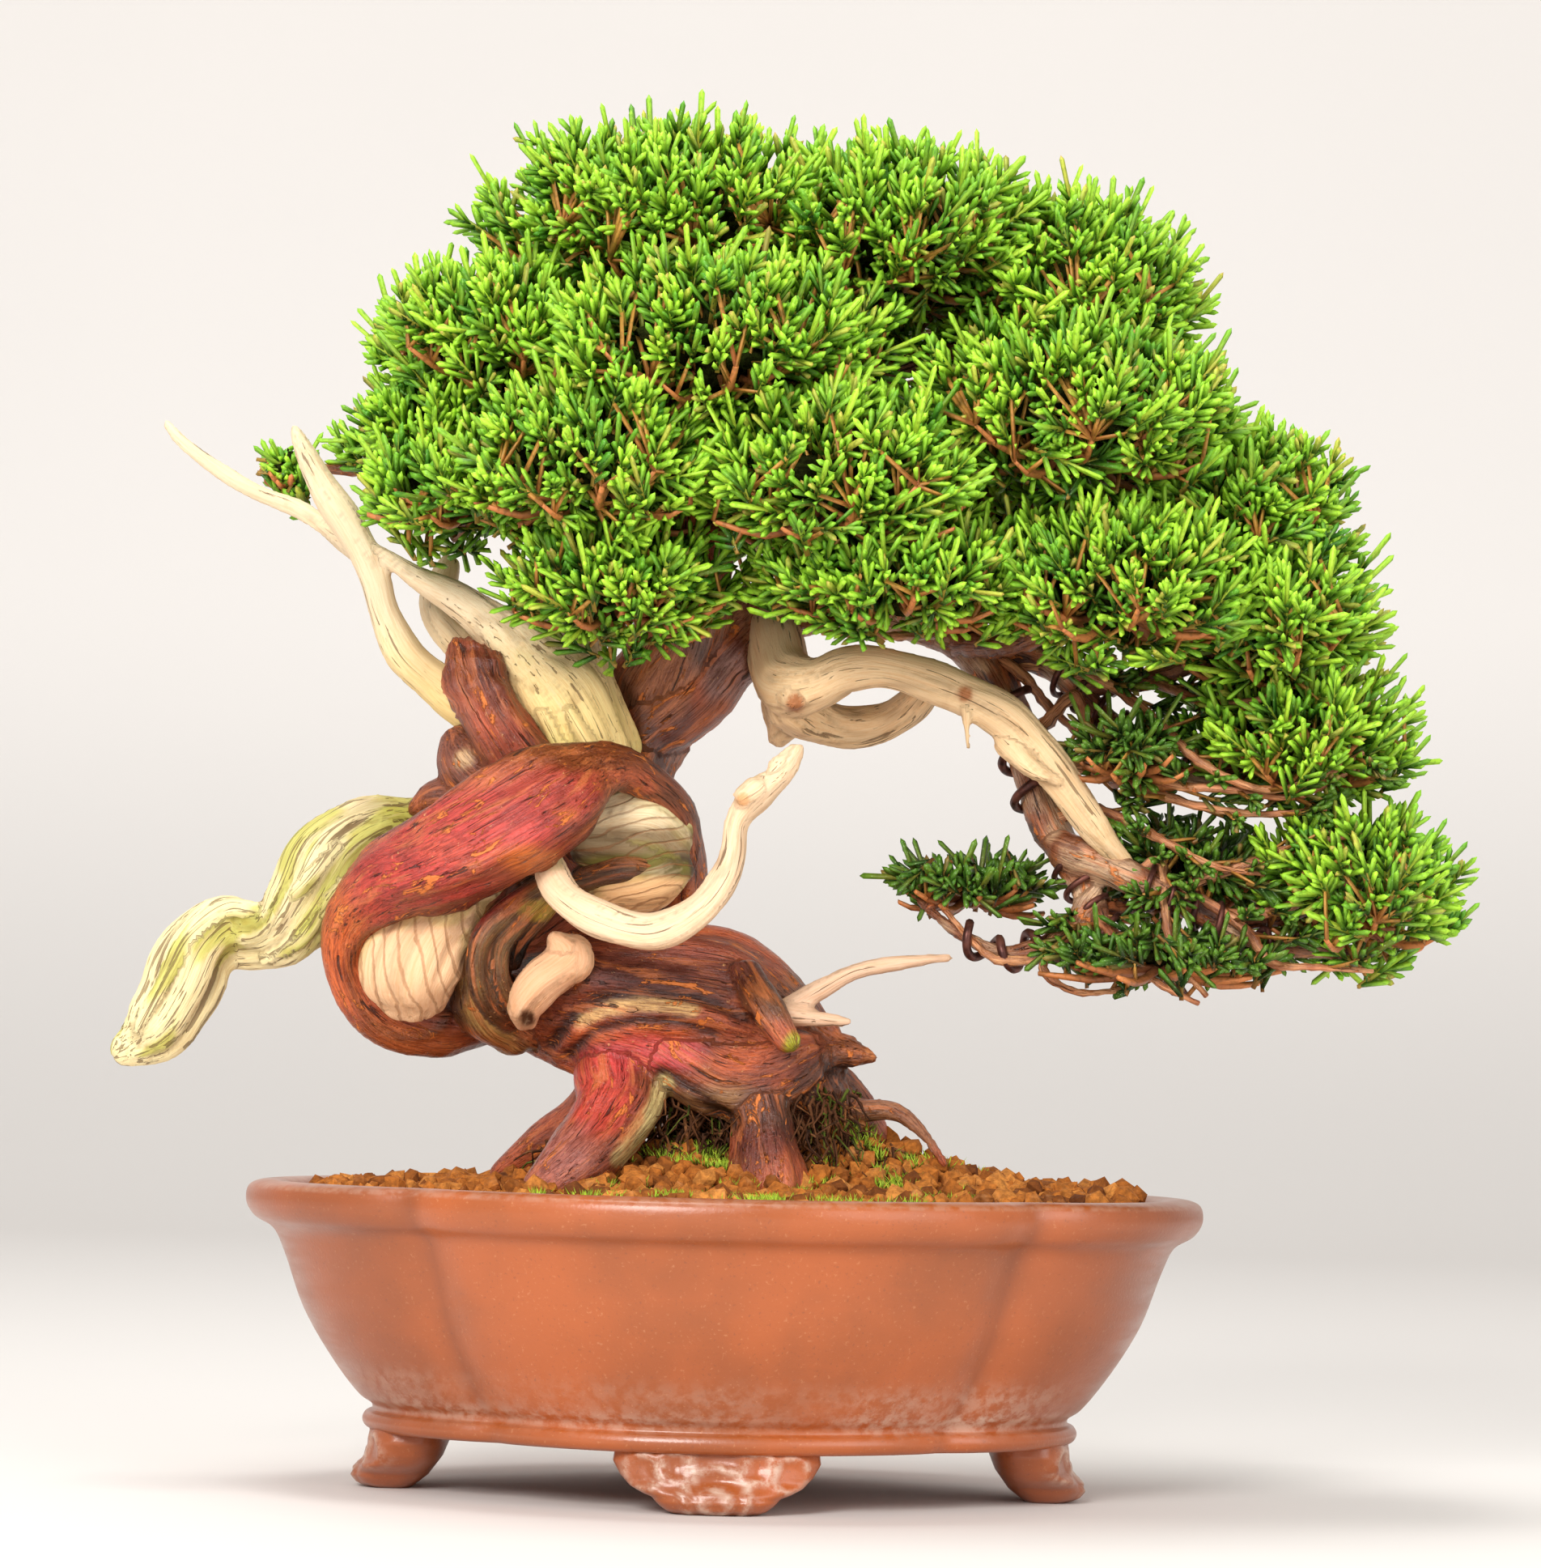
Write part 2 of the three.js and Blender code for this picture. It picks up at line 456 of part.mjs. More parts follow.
// A limb: a closed tube along a smooth path. Thick limbs are fluted, and the flutes wind round them.
function limbSolid({ path, sides }, grow = 0) {
  const steps = (path.length - 1) * (sides >= FLUTED_SIDES ? 2 : 1);
  const frames = sweepFrames(pathCurve(path), steps);
  const tube = new THREE.CylinderGeometry(1, 1, 1, sides, steps);
  return toSolid(moveVertices(tube, (v) => {
    const step = Math.round((v.y + 0.5) * steps);
    const { share, centre, along, across, beside } = frames[step];
    const turn = Math.atan2(v.z, v.x);
    const winding = FLUTE_WINDING * share * (path.length - 1);
    const flute = sides >= FLUTED_SIDES ? FLUTE_DEPTH * Math.cos(FLUTES * turn + winding) : 0;
    const radius = (pathRadius(path, share) + grow) * (1 + flute);
    const end = (step === steps) - (step === 0);
    const [x, z] = [v.x * radius, v.z * radius];
    v.copy(centre).addScaledVector(across, x).addScaledVector(beside, -z).addScaledVector(along, end * grow);
  }));
}

// A straight twig from the wood to the middle of a pad.
const twigLimb = ({ at, twig }) => ({ sides: TWIG_SIDES, path: [twig, [...at, TWIG_TIP_RADIUS]] });

// A wire wound round part of a limb, just clear of its bark.
function wireLimb({ limb, from, to, turns }) {
  const { path } = LIVE_LIMBS[limb];
  const frames = sweepFrames(pathCurve(path), turns * WIRE_STEPS_PER_TURN, from, to);
  const wound = frames.map(({ share, centre, across, beside }, i) => {
    const angle = (2 * Math.PI * i) / WIRE_STEPS_PER_TURN;
    const reach = pathRadius(path, share) + GAP + WIRE_RADIUS * WIRE_CLEARANCE;
    const place = centre.clone().addScaledVector(across, reach * Math.cos(angle));
    return [...place.addScaledVector(beside, reach * Math.sin(angle)).toArray(), WIRE_RADIUS];
  });
  return { sides: WIRE_SIDES, path: wound };
}

// The planes that part a pad from its neighbours, as a direction and a reach from the pad's middle.
function padCell(pad) {
  const middle = new THREE.Vector3(...pad.at);
  return Object.values(PADS).filter((other) => other !== pad).map((other) => {
    const apart = new THREE.Vector3(...other.at).sub(middle);
    const mean = new THREE.Vector3(...pad.half).add(new THREE.Vector3(...other.half)).divideScalar(2);
    const normal = apart.clone().divide(mean).divide(mean).normalize();
    const support = (half) => new THREE.Vector3(...half).multiply(normal).length();
    const share = support(pad.half) / (support(pad.half) + support(other.half));
    return { normal, limit: apart.dot(normal) * share - CELL_MARGIN };
  });
}

// Draws a place, measured from the pad's middle, straight back until it lies in the cell.
function keepInCell(place, cell, margin = 0) {
  let scale = 1;
  for (const { normal, limit } of cell) {
    const reach = place.dot(normal);
    if (reach > limit - margin) scale = Math.min(scale, (limit - margin) / reach);
  }
  return place.multiplyScalar(scale);
}

// Directions spread evenly over a ball by the golden angle.
function evenDirection(i, count) {
  const height = 1 - (2 * (i + 0.5)) / count;
  const ring = Math.sqrt(1 - height * height);
  return new THREE.Vector3(ring * Math.cos(i * GOLDEN_ANGLE), ring * Math.sin(i * GOLDEN_ANGLE), height);
}

// Lumpy, and flatter below than above, as a clipped pad is.
function padSurface(direction, half, share) {
  const [across, deep] = LUMP_WAVES;
  const wave = Math.sin(across * direction.x + half[0]) * Math.cos(deep * direction.y + half[1]);
  const lump = 1 + LUMP_DEPTH * wave;
  const place = direction.clone().multiply(new THREE.Vector3(...half)).multiplyScalar(share * lump);
  if (place.z < 0) place.z *= UNDERSIDE_SHARE;
  return place;
}

// A pad of foliage: a small lumpy core of twigs with pointed shoots standing out of it on all sides,
// within the pad's own cell and cut clear of the wood that passes through.
function padSolid(pad, wood) {
  const cell = padCell(pad);
  const core = new THREE.OctahedronGeometry(1, 1);
  moveVertices(core, (v) => v.copy(keepInCell(padSurface(v, pad.half, CORE_SHARE), cell, CELL_MARGIN)));
  const [a, b, c] = pad.half;
  const area = 4 * Math.PI * Math.hypot(a * b, a * c, b * c) / Math.sqrt(3);
  const count = Math.max(Math.round(area / SHOOT_AREA), SHOOT_FEWEST);
  const shoots = [];
  for (let i = 0; i < count; i += 1) {
    const direction = evenDirection(i, count);
    const base = keepInCell(padSurface(direction, pad.half, CORE_SHARE), cell, CELL_MARGIN);
    const reach = 1 - SHOOT_SPREAD * fraction(i * SPREAD_A);
    const tip = padSurface(direction, pad.half, reach);
    tip.z = Math.min(tip.z + SHOOT_RISE * tip.distanceTo(base), pad.half[2]);
    keepInCell(tip, cell);
    const shoot = tip.clone().sub(base);
    if (shoot.length() < SHOOT_MIN_LENGTH) continue;
    const root = base.multiplyScalar(ROOT_SHARE);
    const length = tip.distanceTo(root);
    const cone = new THREE.ConeGeometry(SHOOT_RADIUS, length, 3).translate(0, length / 2, 0);
    const lean = new THREE.Quaternion().setFromUnitVectors(
      new THREE.Vector3(0, 1, 0), tip.clone().sub(root).normalize());
    cone.rotateY(i * SPREAD_B * Math.PI).applyQuaternion(lean).translate(root.x, root.y, root.z);
    shoots.push(toSolid(cone));
  }
  const whole = join([toSolid(core), ...shoots]).translate(pad.at);
  return mainBody(whole.subtract(wood));
}

const live = [...Object.values(LIVE_LIMBS), ...Object.values(PADS).map(twigLimb)];
const wires = Object.entries(WIRES).map(([name, wire]) => [name, wireLimb(wire)]);
const dead = Object.entries(DEAD_LIMBS);

const solidsGrown = (limbs) => join(limbs.map((limb) => limbSolid(limb, GAP)));
const liveGrown = solidsGrown(live);
const wiresGrown = solidsGrown(wires.map(([, limb]) => limb));
const woodGrown = join([liveGrown, wiresGrown, ...dead.map(([, limbs]) => solidsGrown(limbs))]);

const pieces = [
  ['pot', 'clay', potSolid()],
  ['soil', 'soil', mainBody(soilSolid().subtract(liveGrown))],
  ['live_wood', 'bark', mainBody(join(live.map((limb) => limbSolid(limb))))],
  ...dead.map(([name, limbs]) => [
    name, 'deadwood', mainBody(join(limbs.map((limb) => limbSolid(limb))).subtract(liveGrown)),
  ]),
  ...wires.map(([name, limb]) => [name, 'copper', limbSolid(limb)]),
  ...Object.entries(PADS).map(([name, pad]) => [name, 'foliage', padSolid(pad, woodGrown)]),
];

const bonsai = new THREE.Group();
for (const [name, finish, solid] of pieces) {
  const mesh = new THREE.Mesh(fromSolid(solid), new THREE.MeshStandardMaterial(MATERIALS[finish]));
  mesh.name = name;
  bonsai.add(mesh);
}

// The origin moves to the middle of the whole object's underside.
const box = new THREE.Box3().setFromObject(bonsai);
const middle = box.getCenter(new THREE.Vector3());
for (const mesh of bonsai.children) mesh.position.set(-middle.x, -middle.y, -box.min.z);

export default bonsai;
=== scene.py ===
import math

import bpy
import numpy as np
from bpy.props import FloatProperty, FloatVectorProperty, PointerProperty
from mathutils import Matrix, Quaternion, Vector


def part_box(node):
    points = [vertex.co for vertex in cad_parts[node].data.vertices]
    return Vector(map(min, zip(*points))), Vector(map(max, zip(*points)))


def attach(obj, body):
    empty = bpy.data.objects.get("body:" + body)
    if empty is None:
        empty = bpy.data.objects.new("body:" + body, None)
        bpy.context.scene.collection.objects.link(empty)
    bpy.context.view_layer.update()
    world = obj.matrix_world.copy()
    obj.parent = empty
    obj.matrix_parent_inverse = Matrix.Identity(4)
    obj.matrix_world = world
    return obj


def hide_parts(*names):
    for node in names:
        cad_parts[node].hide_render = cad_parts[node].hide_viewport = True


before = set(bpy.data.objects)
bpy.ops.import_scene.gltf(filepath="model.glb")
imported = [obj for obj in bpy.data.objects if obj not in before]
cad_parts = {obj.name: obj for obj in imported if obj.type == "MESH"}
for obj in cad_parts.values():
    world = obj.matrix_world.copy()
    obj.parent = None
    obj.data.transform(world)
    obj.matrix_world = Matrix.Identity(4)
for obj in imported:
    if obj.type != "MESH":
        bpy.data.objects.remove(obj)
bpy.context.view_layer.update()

bl_info = {
    "name": "Juniper Bonsai",
    "version": (1, 0, 0),
    "blender": (4, 5, 0),
    "location": "View3D > Sidebar > Bonsai",
    "description": "Builds a palm-sized juniper bonsai and its quatrefoil clay pot",
    "category": "Add Mesh",
}

# Shapes are worked out in millimetres from the middle of the pot, front towards -Y, and put into the
# meshes in metres, from the origin of the frame.
MM = 0.001
POT_LOW, POT_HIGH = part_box("pot")
POT_MIDDLE = np.array([(POT_LOW.x + POT_HIGH.x) / 2, (POT_LOW.y + POT_HIGH.y) / 2, 0.0])

# The pot's section from the middle of its underside, out and up, over the lip and down inside, and the
# soil's from the middle of its underside up along the pot. Soil mounds are x, y, spread and height.
POT_SECTION = [
    (0, 9.5), (30, 9.5), (56, 9.5), (59.0, 10.0), (59.7, 11.2), (59.2, 12.4), (58.1, 13.0), (58.2, 13.8),
    (60.2, 15.2), (65, 21.2), (70, 29.5), (73.4, 38.6), (75.4, 42.6), (78.6, 44.6), (80, 47.0),
    (79.6, 49.6), (77.2, 50.6), (74.0, 50.2), (72.6, 48.6), (71, 45), (67.6, 36), (62.6, 26),
    (56, 18.4), (48, 15.4), (0, 15),
]
RIM_HALF_WIDTH = 80
WIDE_LOBE = (68, 62)          # half width and half depth of the front and back lobes
SIDE_LOBE = (36, 44)          # how far out the side lobes are centred, and their radius
CREASE_SHARPNESS = 130
DRAIN_HOLES = (-24, 24)       # x of their middles
DRAIN_RADIUS = 6
FOOT_TOE = 61
FOOT_SCROLLS = [(0, 2.8, 5.2), (0, 2.0, 2.2), (-11.8, 6.6, 3.0), (11.8, 6.6, 3.0), (-6.6, 7.6, 2.6),
                (6.6, 7.6, 2.6)]      # middle aside and up, and radius
POT_COLUMNS = 256             # vertices round the pot
SOIL_WALL = [(0, 15.8), (48, 16.2), (62, 26.6), (70.4, 45)]
SOIL_EDGE_HEIGHT = 48.6
SOIL_REACH = SOIL_WALL[-1][0]
SOIL_MOUNDS = [(-8, 0, 24, 7.5), (26, 6, 15, 7), (5, 9, 12, 9), (17, 1, 8, 6), (50, 4, 20, 2.5)]

# Live wood under bark. Each limb is a path of (x, y, z, radius).
LIVE_LIMBS = {
    "lower_trunk": [
        (14, 0, 66, 7), (7, 0, 75, 10), (-3, -1, 79.5, 14), (-16, -2, 80.5, 13.5), (-26, -1, 81.5, 11),
        (-35, 6, 82, 7)],
    "skirt": [
        (-12, -8, 76, 6.5), (-5, -9.5, 71.5, 6.7), (0, -10, 69.3, 6.6), (6.2, -9.5, 70, 5.7),
        (12.5, -8, 73, 4.8)],
    "fold": [
        (-31, -13, 101.5, 4), (-39, -13, 97, 4.8), (-41.5, -12, 88.5, 4.8), (-40, -8, 80.5, 4.8),
        (-35, -3, 76.5, 5)],
    "heart": [(-18, 3, 101, 6), (-27, 4, 95, 6.5), (-36, 5, 88, 6)],
    "coil": [
        (-27.7, 8, 83, 6.9), (-40, 5, 80, 5.8), (-49, -3, 77.3, 5.2), (-58.3, -9, 79.6, 4.7),
        (-63, -14, 87.3, 4.3), (-62, -18.5, 94.5, 4.9), (-56, -23, 100, 6.4), (-47.5, -26.5, 103.5, 8),
        (-38, -28, 108.5, 9), (-29.2, -26, 114.4, 8.2), (-24, -22.5, 118.3, 5.4), (-19.3, -19, 119.7, 3.8),
        (-14.3, -14, 117.4, 3.3), (-10, -9, 113.4, 3.3), (-8.5, -3, 107.5, 3.4), (-8.8, 7, 99, 4.6)],
    "upper_trunk": [
        (-14, 9, 92, 8), (-17.5, 10, 105, 8.8), (-19.5, 9, 119, 8), (-14.5, 7, 131.5, 8),
        (-8.5, 3, 147, 6.9), (-8, 0, 164, 6), (-9, 0, 180, 4.8), (-7, 0, 195, 3.8), (-4, 0, 210, 2.4)],
    "right_branch": [
        (-14, 6, 129.5, 7.5), (-9, 6.5, 134, 7.6), (-3.5, 8, 141, 7), (4, 12, 147.5, 5.4),
        (13, 15, 150.5, 4.6), (24, 16, 150, 4), (37, 15, 145.5, 3.6), (45, 8, 136, 3.3), (49, 4, 124, 3.1),
        (53, 2, 113, 3.2), (58, 0, 105, 2.9), (61, -2, 98, 2.3), (67, -4, 91, 1.6), (76, -5, 85, 1)],
    "thumb": [
        (-24, -2, 108, 7.5), (-30.5, -8, 114.5, 6.2), (-34.3, -10, 119.8, 5.5), (-38, -12, 124.7, 4.9),
        (-41.2, -12, 129.7, 4.7), (-43.5, -11, 134.5, 4.8), (-44.5, -9, 139, 4.4)],
    "thumb_knob": [
        (-32, -3, 112, 5.5), (-38.8, -4, 115.5, 5.2), (-42.3, -5, 119, 5.4), (-45.3, -5, 122.2, 4.9),
        (-47, -5, 125.2, 3)],
    "shoulder_knob": [
        (-35, -2, 112, 5.4), (-41.6, -3, 114, 4.8), (-46.8, -3, 114.8, 4), (-50.4, -3, 114.6, 3.2),
        (-54, -2, 112.6, 1.5)],
    "left_root": [
        (-13, -3, 74, 8), (-17.8, -7, 69, 7.3), (-17.6, -11.5, 63.9, 6.7), (-20.2, -16, 59.2, 6),
        (-24.4, -21, 54.5, 5.4), (-30, -25, 50, 3.6)],
    "back_left_root": [
        (-13, 4, 73, 6), (-19, 5, 67.5, 5), (-25.5, 8, 61, 3.8), (-32, 11, 57, 3.2), (-39, 15, 51.5, 2)],
    "front_root": [
        (3, -7, 70, 5.5), (5.2, -11, 64.5, 4.9), (6.3, -13, 59.6, 5.2), (6.9, -15, 54.5, 6.2),
        (7.4, -16, 50, 7)],
    "right_root": [(8.5, 4, 70, 8), (15, 6, 65.5, 7), (20, 8, 60, 6), (25, 10, 52, 4.6)],
    "thin_right_root": [
        (16, 2, 65, 3), (22, 1, 64.2, 2.4), (28, -0.5, 64.3, 1.7), (32.7, -2, 60.9, 1.2),
        (36.7, -4, 55.5, 0.9)],
    "back_root": [(-3, 10, 74, 7), (-6, 24, 64, 5), (-11, 38, 53, 3), (-14, 44, 48, 2)],
    "cut_stub": [(2.5, -11, 87, 2.8), (6.5, -17, 80.5, 2.8), (10.3, -20, 75, 2.2)],
    "broken_stub": [(11, -2, 76, 5.5), (18, -4, 74.3, 3.4), (25, -6, 73.2, 1.3)],
    "upper_fork": [
        (36, 14, 145, 3.2), (52, 8, 141, 2.6), (63, 4, 131, 2.1), (75, 2, 122, 1.7), (95, 1, 121, 1)],
    "lower_fork": [
        (55, -1, 109, 3.1), (67, -6, 104, 2.8), (77, -8, 99, 2.3), (88, -8, 94, 1.8), (104, -8, 92, 1)],
    "return_fork": [
        (61, -2, 101, 2.3), (55, -4, 94, 1.9), (46, -4, 91, 1.6), (38, -2, 94.5, 1.2), (31, 3, 100, 0.8)],
    "fold_outer": [
        (-29.5, -18, 101.8, 1.7), (-36.5, -21, 96.5, 1.9), (-41, -22, 91, 2), (-41.6, -20.5, 85.5, 1.9),
        (-39.5, -16, 80, 1.8), (-36, -10, 77.5, 1.6)],
    "fold_middle": [
        (-28.8, -17, 100.8, 1.8), (-34, -19, 95.3, 1.9), (-37.7, -19, 90, 2), (-37.7, -17, 84, 1.9),
        (-34.5, -12, 80, 1.7)],
    "fold_inner": [
        (-27.8, -15, 99.7, 1.6), (-31, -16, 95.4, 1.6), (-34.4, -15, 91.4, 1.6), (-36, -13, 86.8, 1.5)],
    "hollow_fold": [(-25.5, -12, 101.5, 2.4), (-17.3, -13.5, 103.6, 2.5), (-10.7, -9, 102.4, 2.3)],
}
BRANCH_LIMBS = ("right_branch", "upper_fork", "lower_fork", "return_fork")

# Bare dead wood. Each piece is a list of paths of (x, y, z, radius).
DEAD_LIMBS = {
    "deadwood_tail": [
        [(-44, 1, 110, 4.5), (-54.5, 1.5, 110.2, 4.4), (-61.4, -2, 108.8, 5.6), (-67, -5, 104.2, 6.4),
         (-70.8, -7, 97, 6.4), (-74.4, -5, 92.2, 5.2), (-80, 1, 90.8, 4.9), (-85.2, 2, 91.8, 5.6),
         (-89.6, -1, 88, 6.1), (-92.5, -3, 80.6, 6), (-96, -5, 74.6, 5), (-101.5, -6, 70.8, 2.2)],
    ],
    "deadwood_antlers": [
        [(-34, 2, 121.5, 6.2), (-43.5, -2, 129, 4), (-49.5, -3, 133.6, 3.5), (-55.5, -5, 138.6, 3.2),
         (-59, -6, 145, 2.7), (-61.3, -7, 152.2, 2.6), (-65.3, -8, 159.8, 2.8), (-69.5, -8, 165.8, 2.5),
         (-72.9, -8, 171.8, 1.8), (-75.2, -8, 176.2, 0.8)],
        [(-64, -5.5, 156.2, 2.2), (-68.5, -1, 159.2, 1.7), (-74.5, 2.5, 163.3, 1.6), (-82.5, 4, 166.5, 1.5),
         (-90, 4.5, 170.8, 1.4), (-95.5, 5, 175, 1.1), (-98.2, 6, 178, 0.8)],
        [(-24, -3, 121, 8), (-28.3, -5, 130.8, 8.3), (-35.2, -6, 138.5, 5.9), (-41.4, -8, 144.2, 4),
         (-47.4, -8, 148.3, 3), (-53.5, -8.5, 151.3, 2.2), (-61, -9, 156.2, 0.9)],
        [(-31, 5, 128, 6.5), (-38.5, 6.5, 136, 5.6), (-46.5, 8, 143, 4.6), (-51, 10, 149, 3.6),
         (-49.5, 11.5, 156, 1.9)],
        [(-21.5, -1, 114, 6.6), (-24.3, -2.5, 121, 8.3), (-27, -3, 128, 9.4), (-30, -1, 136, 8.8),
         (-30, 2, 146, 7.3), (-19.5, 1, 160, 4)],
    ],
    "deadwood_crescent": [
        [(-31, -20, 106, 2.4), (-27, -30, 98, 2.8), (-20, -34, 94, 3), (-12, -36, 92.6, 2.9),
         (-5, -37, 96.3, 2.7), (-1.2, -36, 101.6, 2.4), (0.2, -36, 105.8, 2.2), (0.9, -36, 111, 2),
         (4.6, -36, 115.6, 2.5), (8.8, -36, 119.2, 1.5), (10.8, -36, 123.2, 0.8)],
    ],
    "deadwood_swan": [
        [(-25.4, -14, 90.5, 2.8), (-26.9, -15.5, 87.5, 4), (-31.2, -16.5, 84, 4), (-33.5, -15, 80.5, 3.3),
         (-33.5, -12, 77.6, 2)],
    ],
    "deadwood_cheek": [
        [(-34, -13, 101.5, 4), (-42, -14, 98.6, 5.3), (-49.3, -14.5, 92.6, 8.3), (-52.6, -15.5, 86.5, 8.8),
         (-52.2, -13.5, 81.5, 6.6)],
    ],
    "deadwood_hollow": [
        [(-22.2, -13, 111.1, 4.3), (-15.5, -12, 112, 5.4), (-10.2, -8, 108.3, 4.4)],
        [(-25, -13, 107.5, 3.8), (-18.1, -12, 107, 3.9), (-9.5, -7, 106.5, 3.2)],
        [(-22, -11, 99.8, 3.4), (-14, -10.5, 101, 4.6), (-9, -7, 104, 3.4)],
    ],
    "deadwood_arch": [
        [(5, 9, 147, 4.2), (6.3, 4, 142, 4.9), (8.6, -2, 135.8, 5.3), (13.5, -7, 135.3, 4.3),
         (18.4, -9, 137.4, 3.6), (24, -10, 137.8, 3.2), (34.3, -10, 135, 3.3), (44.5, -10, 130.2, 3.5),
         (49.4, -9, 126, 3.3), (53.6, -9, 121, 3.1), (58.5, -8, 114.6, 2.9), (62.3, -7, 109.8, 2.2),
         (66.5, -5, 105.8, 1.3)],
        [(7.9, 0, 132.6, 4.4), (12.8, 5, 130.4, 4), (18.5, 8, 129, 3.4), (24.5, 7.5, 129.8, 3.1),
         (29, 2, 132, 2.8), (32, -5, 134.8, 2.5)],
        [(7.5, 4, 134.3, 3.5), (8, 7, 129.5, 3.2), (7, 8.5, 126.5, 1.8)],
    ],
    "deadwood_spur": [
        [(8, -9, 80, 2.2), (15, -11, 84.3, 1.9), (21, -12, 87.5, 1.6), (28, -12, 89, 1.4),
         (36.5, -12, 90.1, 0.9)],
        [(9, -12, 80, 2), (20, -14, 79, 0.9)],
    ],
}

# Foliage pads: middle, half sizes out to the shoot tips, where the twig leaves the wood with its
# radius there, and how full of shoots the pad is.
PADS = {
    "foliage_apex": ((-11, -4, 211.5), (35, 38, 20), (-6, 0, 201, 2.2), 1.0),
    "foliage_apex_right": ((25, -4, 209), (30, 38, 20), (-7, 0, 192, 2.4), 1.0),
    "foliage_shoulder": ((53, 2, 201), (27, 36, 21), (-8, 0, 184, 2.6), 1.0),
    "foliage_left_high": ((-38, -6, 190.5), (27, 36, 17.5), (-9, 0, 180, 2.4), 1.0),
    "foliage_left_middle": ((-47, 4, 176.5), (24, 34, 14), (-9, 0, 170, 2.4), 1.0),
    "foliage_left_low": ((-44, -16, 165.5), (22, 26, 13), (-8, 0, 158, 2.6), 1.0),
    "foliage_left_tip": ((-77, 10, 171), (6.5, 7, 6), (-43, 4, 176.5, 1.6), 1.0),
    "foliage_front_high": ((-4, -34, 188), (32, 24, 19), (-9, 0, 182, 2.4), 1.0),
    "foliage_front_left": ((-24, -36, 168), (25, 24, 18), (-8, 0, 166, 2.4), 1.0),
    "foliage_front_low": ((-20, -24, 149.5), (22, 27, 14.5), (-8, 0, 154, 2.6), 1.0),
    "foliage_front_middle": ((16, -38, 166), (26, 23, 19), (-8, 0, 164, 2.4), 1.0),
    "foliage_front_right": ((26, -28, 151), (26, 27, 14), (8, 13, 149, 2.4), 1.0),
    "foliage_right_high": ((54, -22, 179), (30, 32, 20), (36, 14, 146, 2.8), 1.0),
    "foliage_right_far": ((83, 4, 165), (22, 36, 19), (39, 13, 144, 2.8), 1.0),
    "foliage_right_middle": ((62, -24, 151), (28, 28, 17), (37, 13, 144, 2.4), 1.0),
    "foliage_right_inner": ((66, -8, 125), (14, 18, 10), (63, 4, 131, 1.8), 0.4),
    "foliage_right_low": ((90, 0, 147), (21, 38, 20), (57, 6, 137, 2.4), 0.8),
    "foliage_right_edge": ((94, 2, 128.5), (22, 34, 16), (75, 2, 122, 1.8), 0.8),
    "foliage_drop_right": ((104, -2, 102.5), (20, 34, 17.5), (80, -8, 98, 2), 0.75),
    "foliage_drop_middle": ((77, 12, 104), (20, 28, 14), (61, -2, 99, 1.8), 0.45),
    "foliage_drop_low": ((72, -10, 91), (25, 18, 8), (66, -4, 92, 1.5), 0.4),
    "foliage_drop_left": ((40, 8, 102.5), (17, 20, 8), (33, 1, 98.5, 1), 0.5),
    "foliage_back_high": ((7, 35, 205), (38, 28, 22), (-8, 0, 190, 2.4), 0.85),
    "foliage_back_left": ((-36, 35, 180), (29, 28, 18), (-9, 0, 172, 2.4), 0.85),
    "foliage_back_middle": ((10, 37, 173), (34, 26, 21), (-8, 1, 166, 2.4), 0.85),
    "foliage_back_right": ((57, 36, 169), (33, 28, 21), (34, 15, 146, 2.6), 0.85),
}
# Pads low inside the crown whose shoots are painted darker, as painted shade; the hanging sprays take the
# same tint.
SHADED_PADS = ("foliage_right_inner", "foliage_drop_left", "foliage_drop_middle", "foliage_drop_low")

# Fine branches in scaly bark under the drooping side. Each is a path of (x, y, z) from the wood to its
# end, and they thin from 1.2 to 0.4 mm.
FINE_BRANCHES = [
    [(52, 5, 130), (57, 2, 134.8), (59.5, 0, 129.5), (66.5, -6, 122.5), (73, -10, 119.6), (82, -12, 119),
     (93, -12, 118), (103, -10, 123)],
    [(46, 10, 141), (57, 4, 139), (64, 0, 136), (71.5, -8, 129), (77, -12, 123.6), (87, -14, 119.1),
     (95.5, -14, 120.6), (104, -14, 125.5)],
    [(50, 10, 141), (61.5, 8, 139.4), (71, 2, 137.2), (79.7, -6, 133.5), (88.6, -12, 134.6),
     (95, -14, 138)],
    [(51, 3, 122), (59, 2, 122.6), (67, -2, 119.8), (77, -8, 116.4), (87.7, -12, 115), (98, -14, 116)],
    [(54, 1, 114), (60.3, 0, 115.7), (67, -4, 113), (72, -8, 110.2), (80, -12, 106.2), (88, -14, 105)],
    [(59, -1, 103), (59.2, -2, 99.3), (63, -6, 95.2), (67, -10, 89.9), (71, -12, 86.6), (77.7, -12, 83.4)],
    [(68, -5, 105), (71, -6, 107), (72, -10, 99.4), (73.5, -12, 91.3), (79, -12, 84.7)],
    [(72, -7, 102), (77.6, -8, 100.9), (85.5, -12, 95.6), (89.5, -14, 90.3), (96, -16, 89.8),
     (106, -16, 89.4)],
    [(59, -3, 98), (57.8, -4, 96.5), (53.7, -6, 93.7), (52.3, -8, 88.2), (57.8, -8, 84.9), (66, -8, 85.5)],
    [(44, -3, 91), (51, -6, 90.2), (44.3, -6, 90.1), (40, -4, 93.4), (35, -2, 99)],
    [(72, -7, 102), (84, -10, 106), (94, -12, 110), (104, -12, 112)],
    [(80, -8, 98), (90, -11, 99), (100, -13, 103), (110, -12, 106)],
    [(40, 12, 144), (48, 6, 138.7), (53, 6, 133), (57.6, 6, 128.9), (60, 4, 122)],
    [(35, 13, 146), (30, -4, 144), (24, -14, 143), (14, -18, 143)],
]

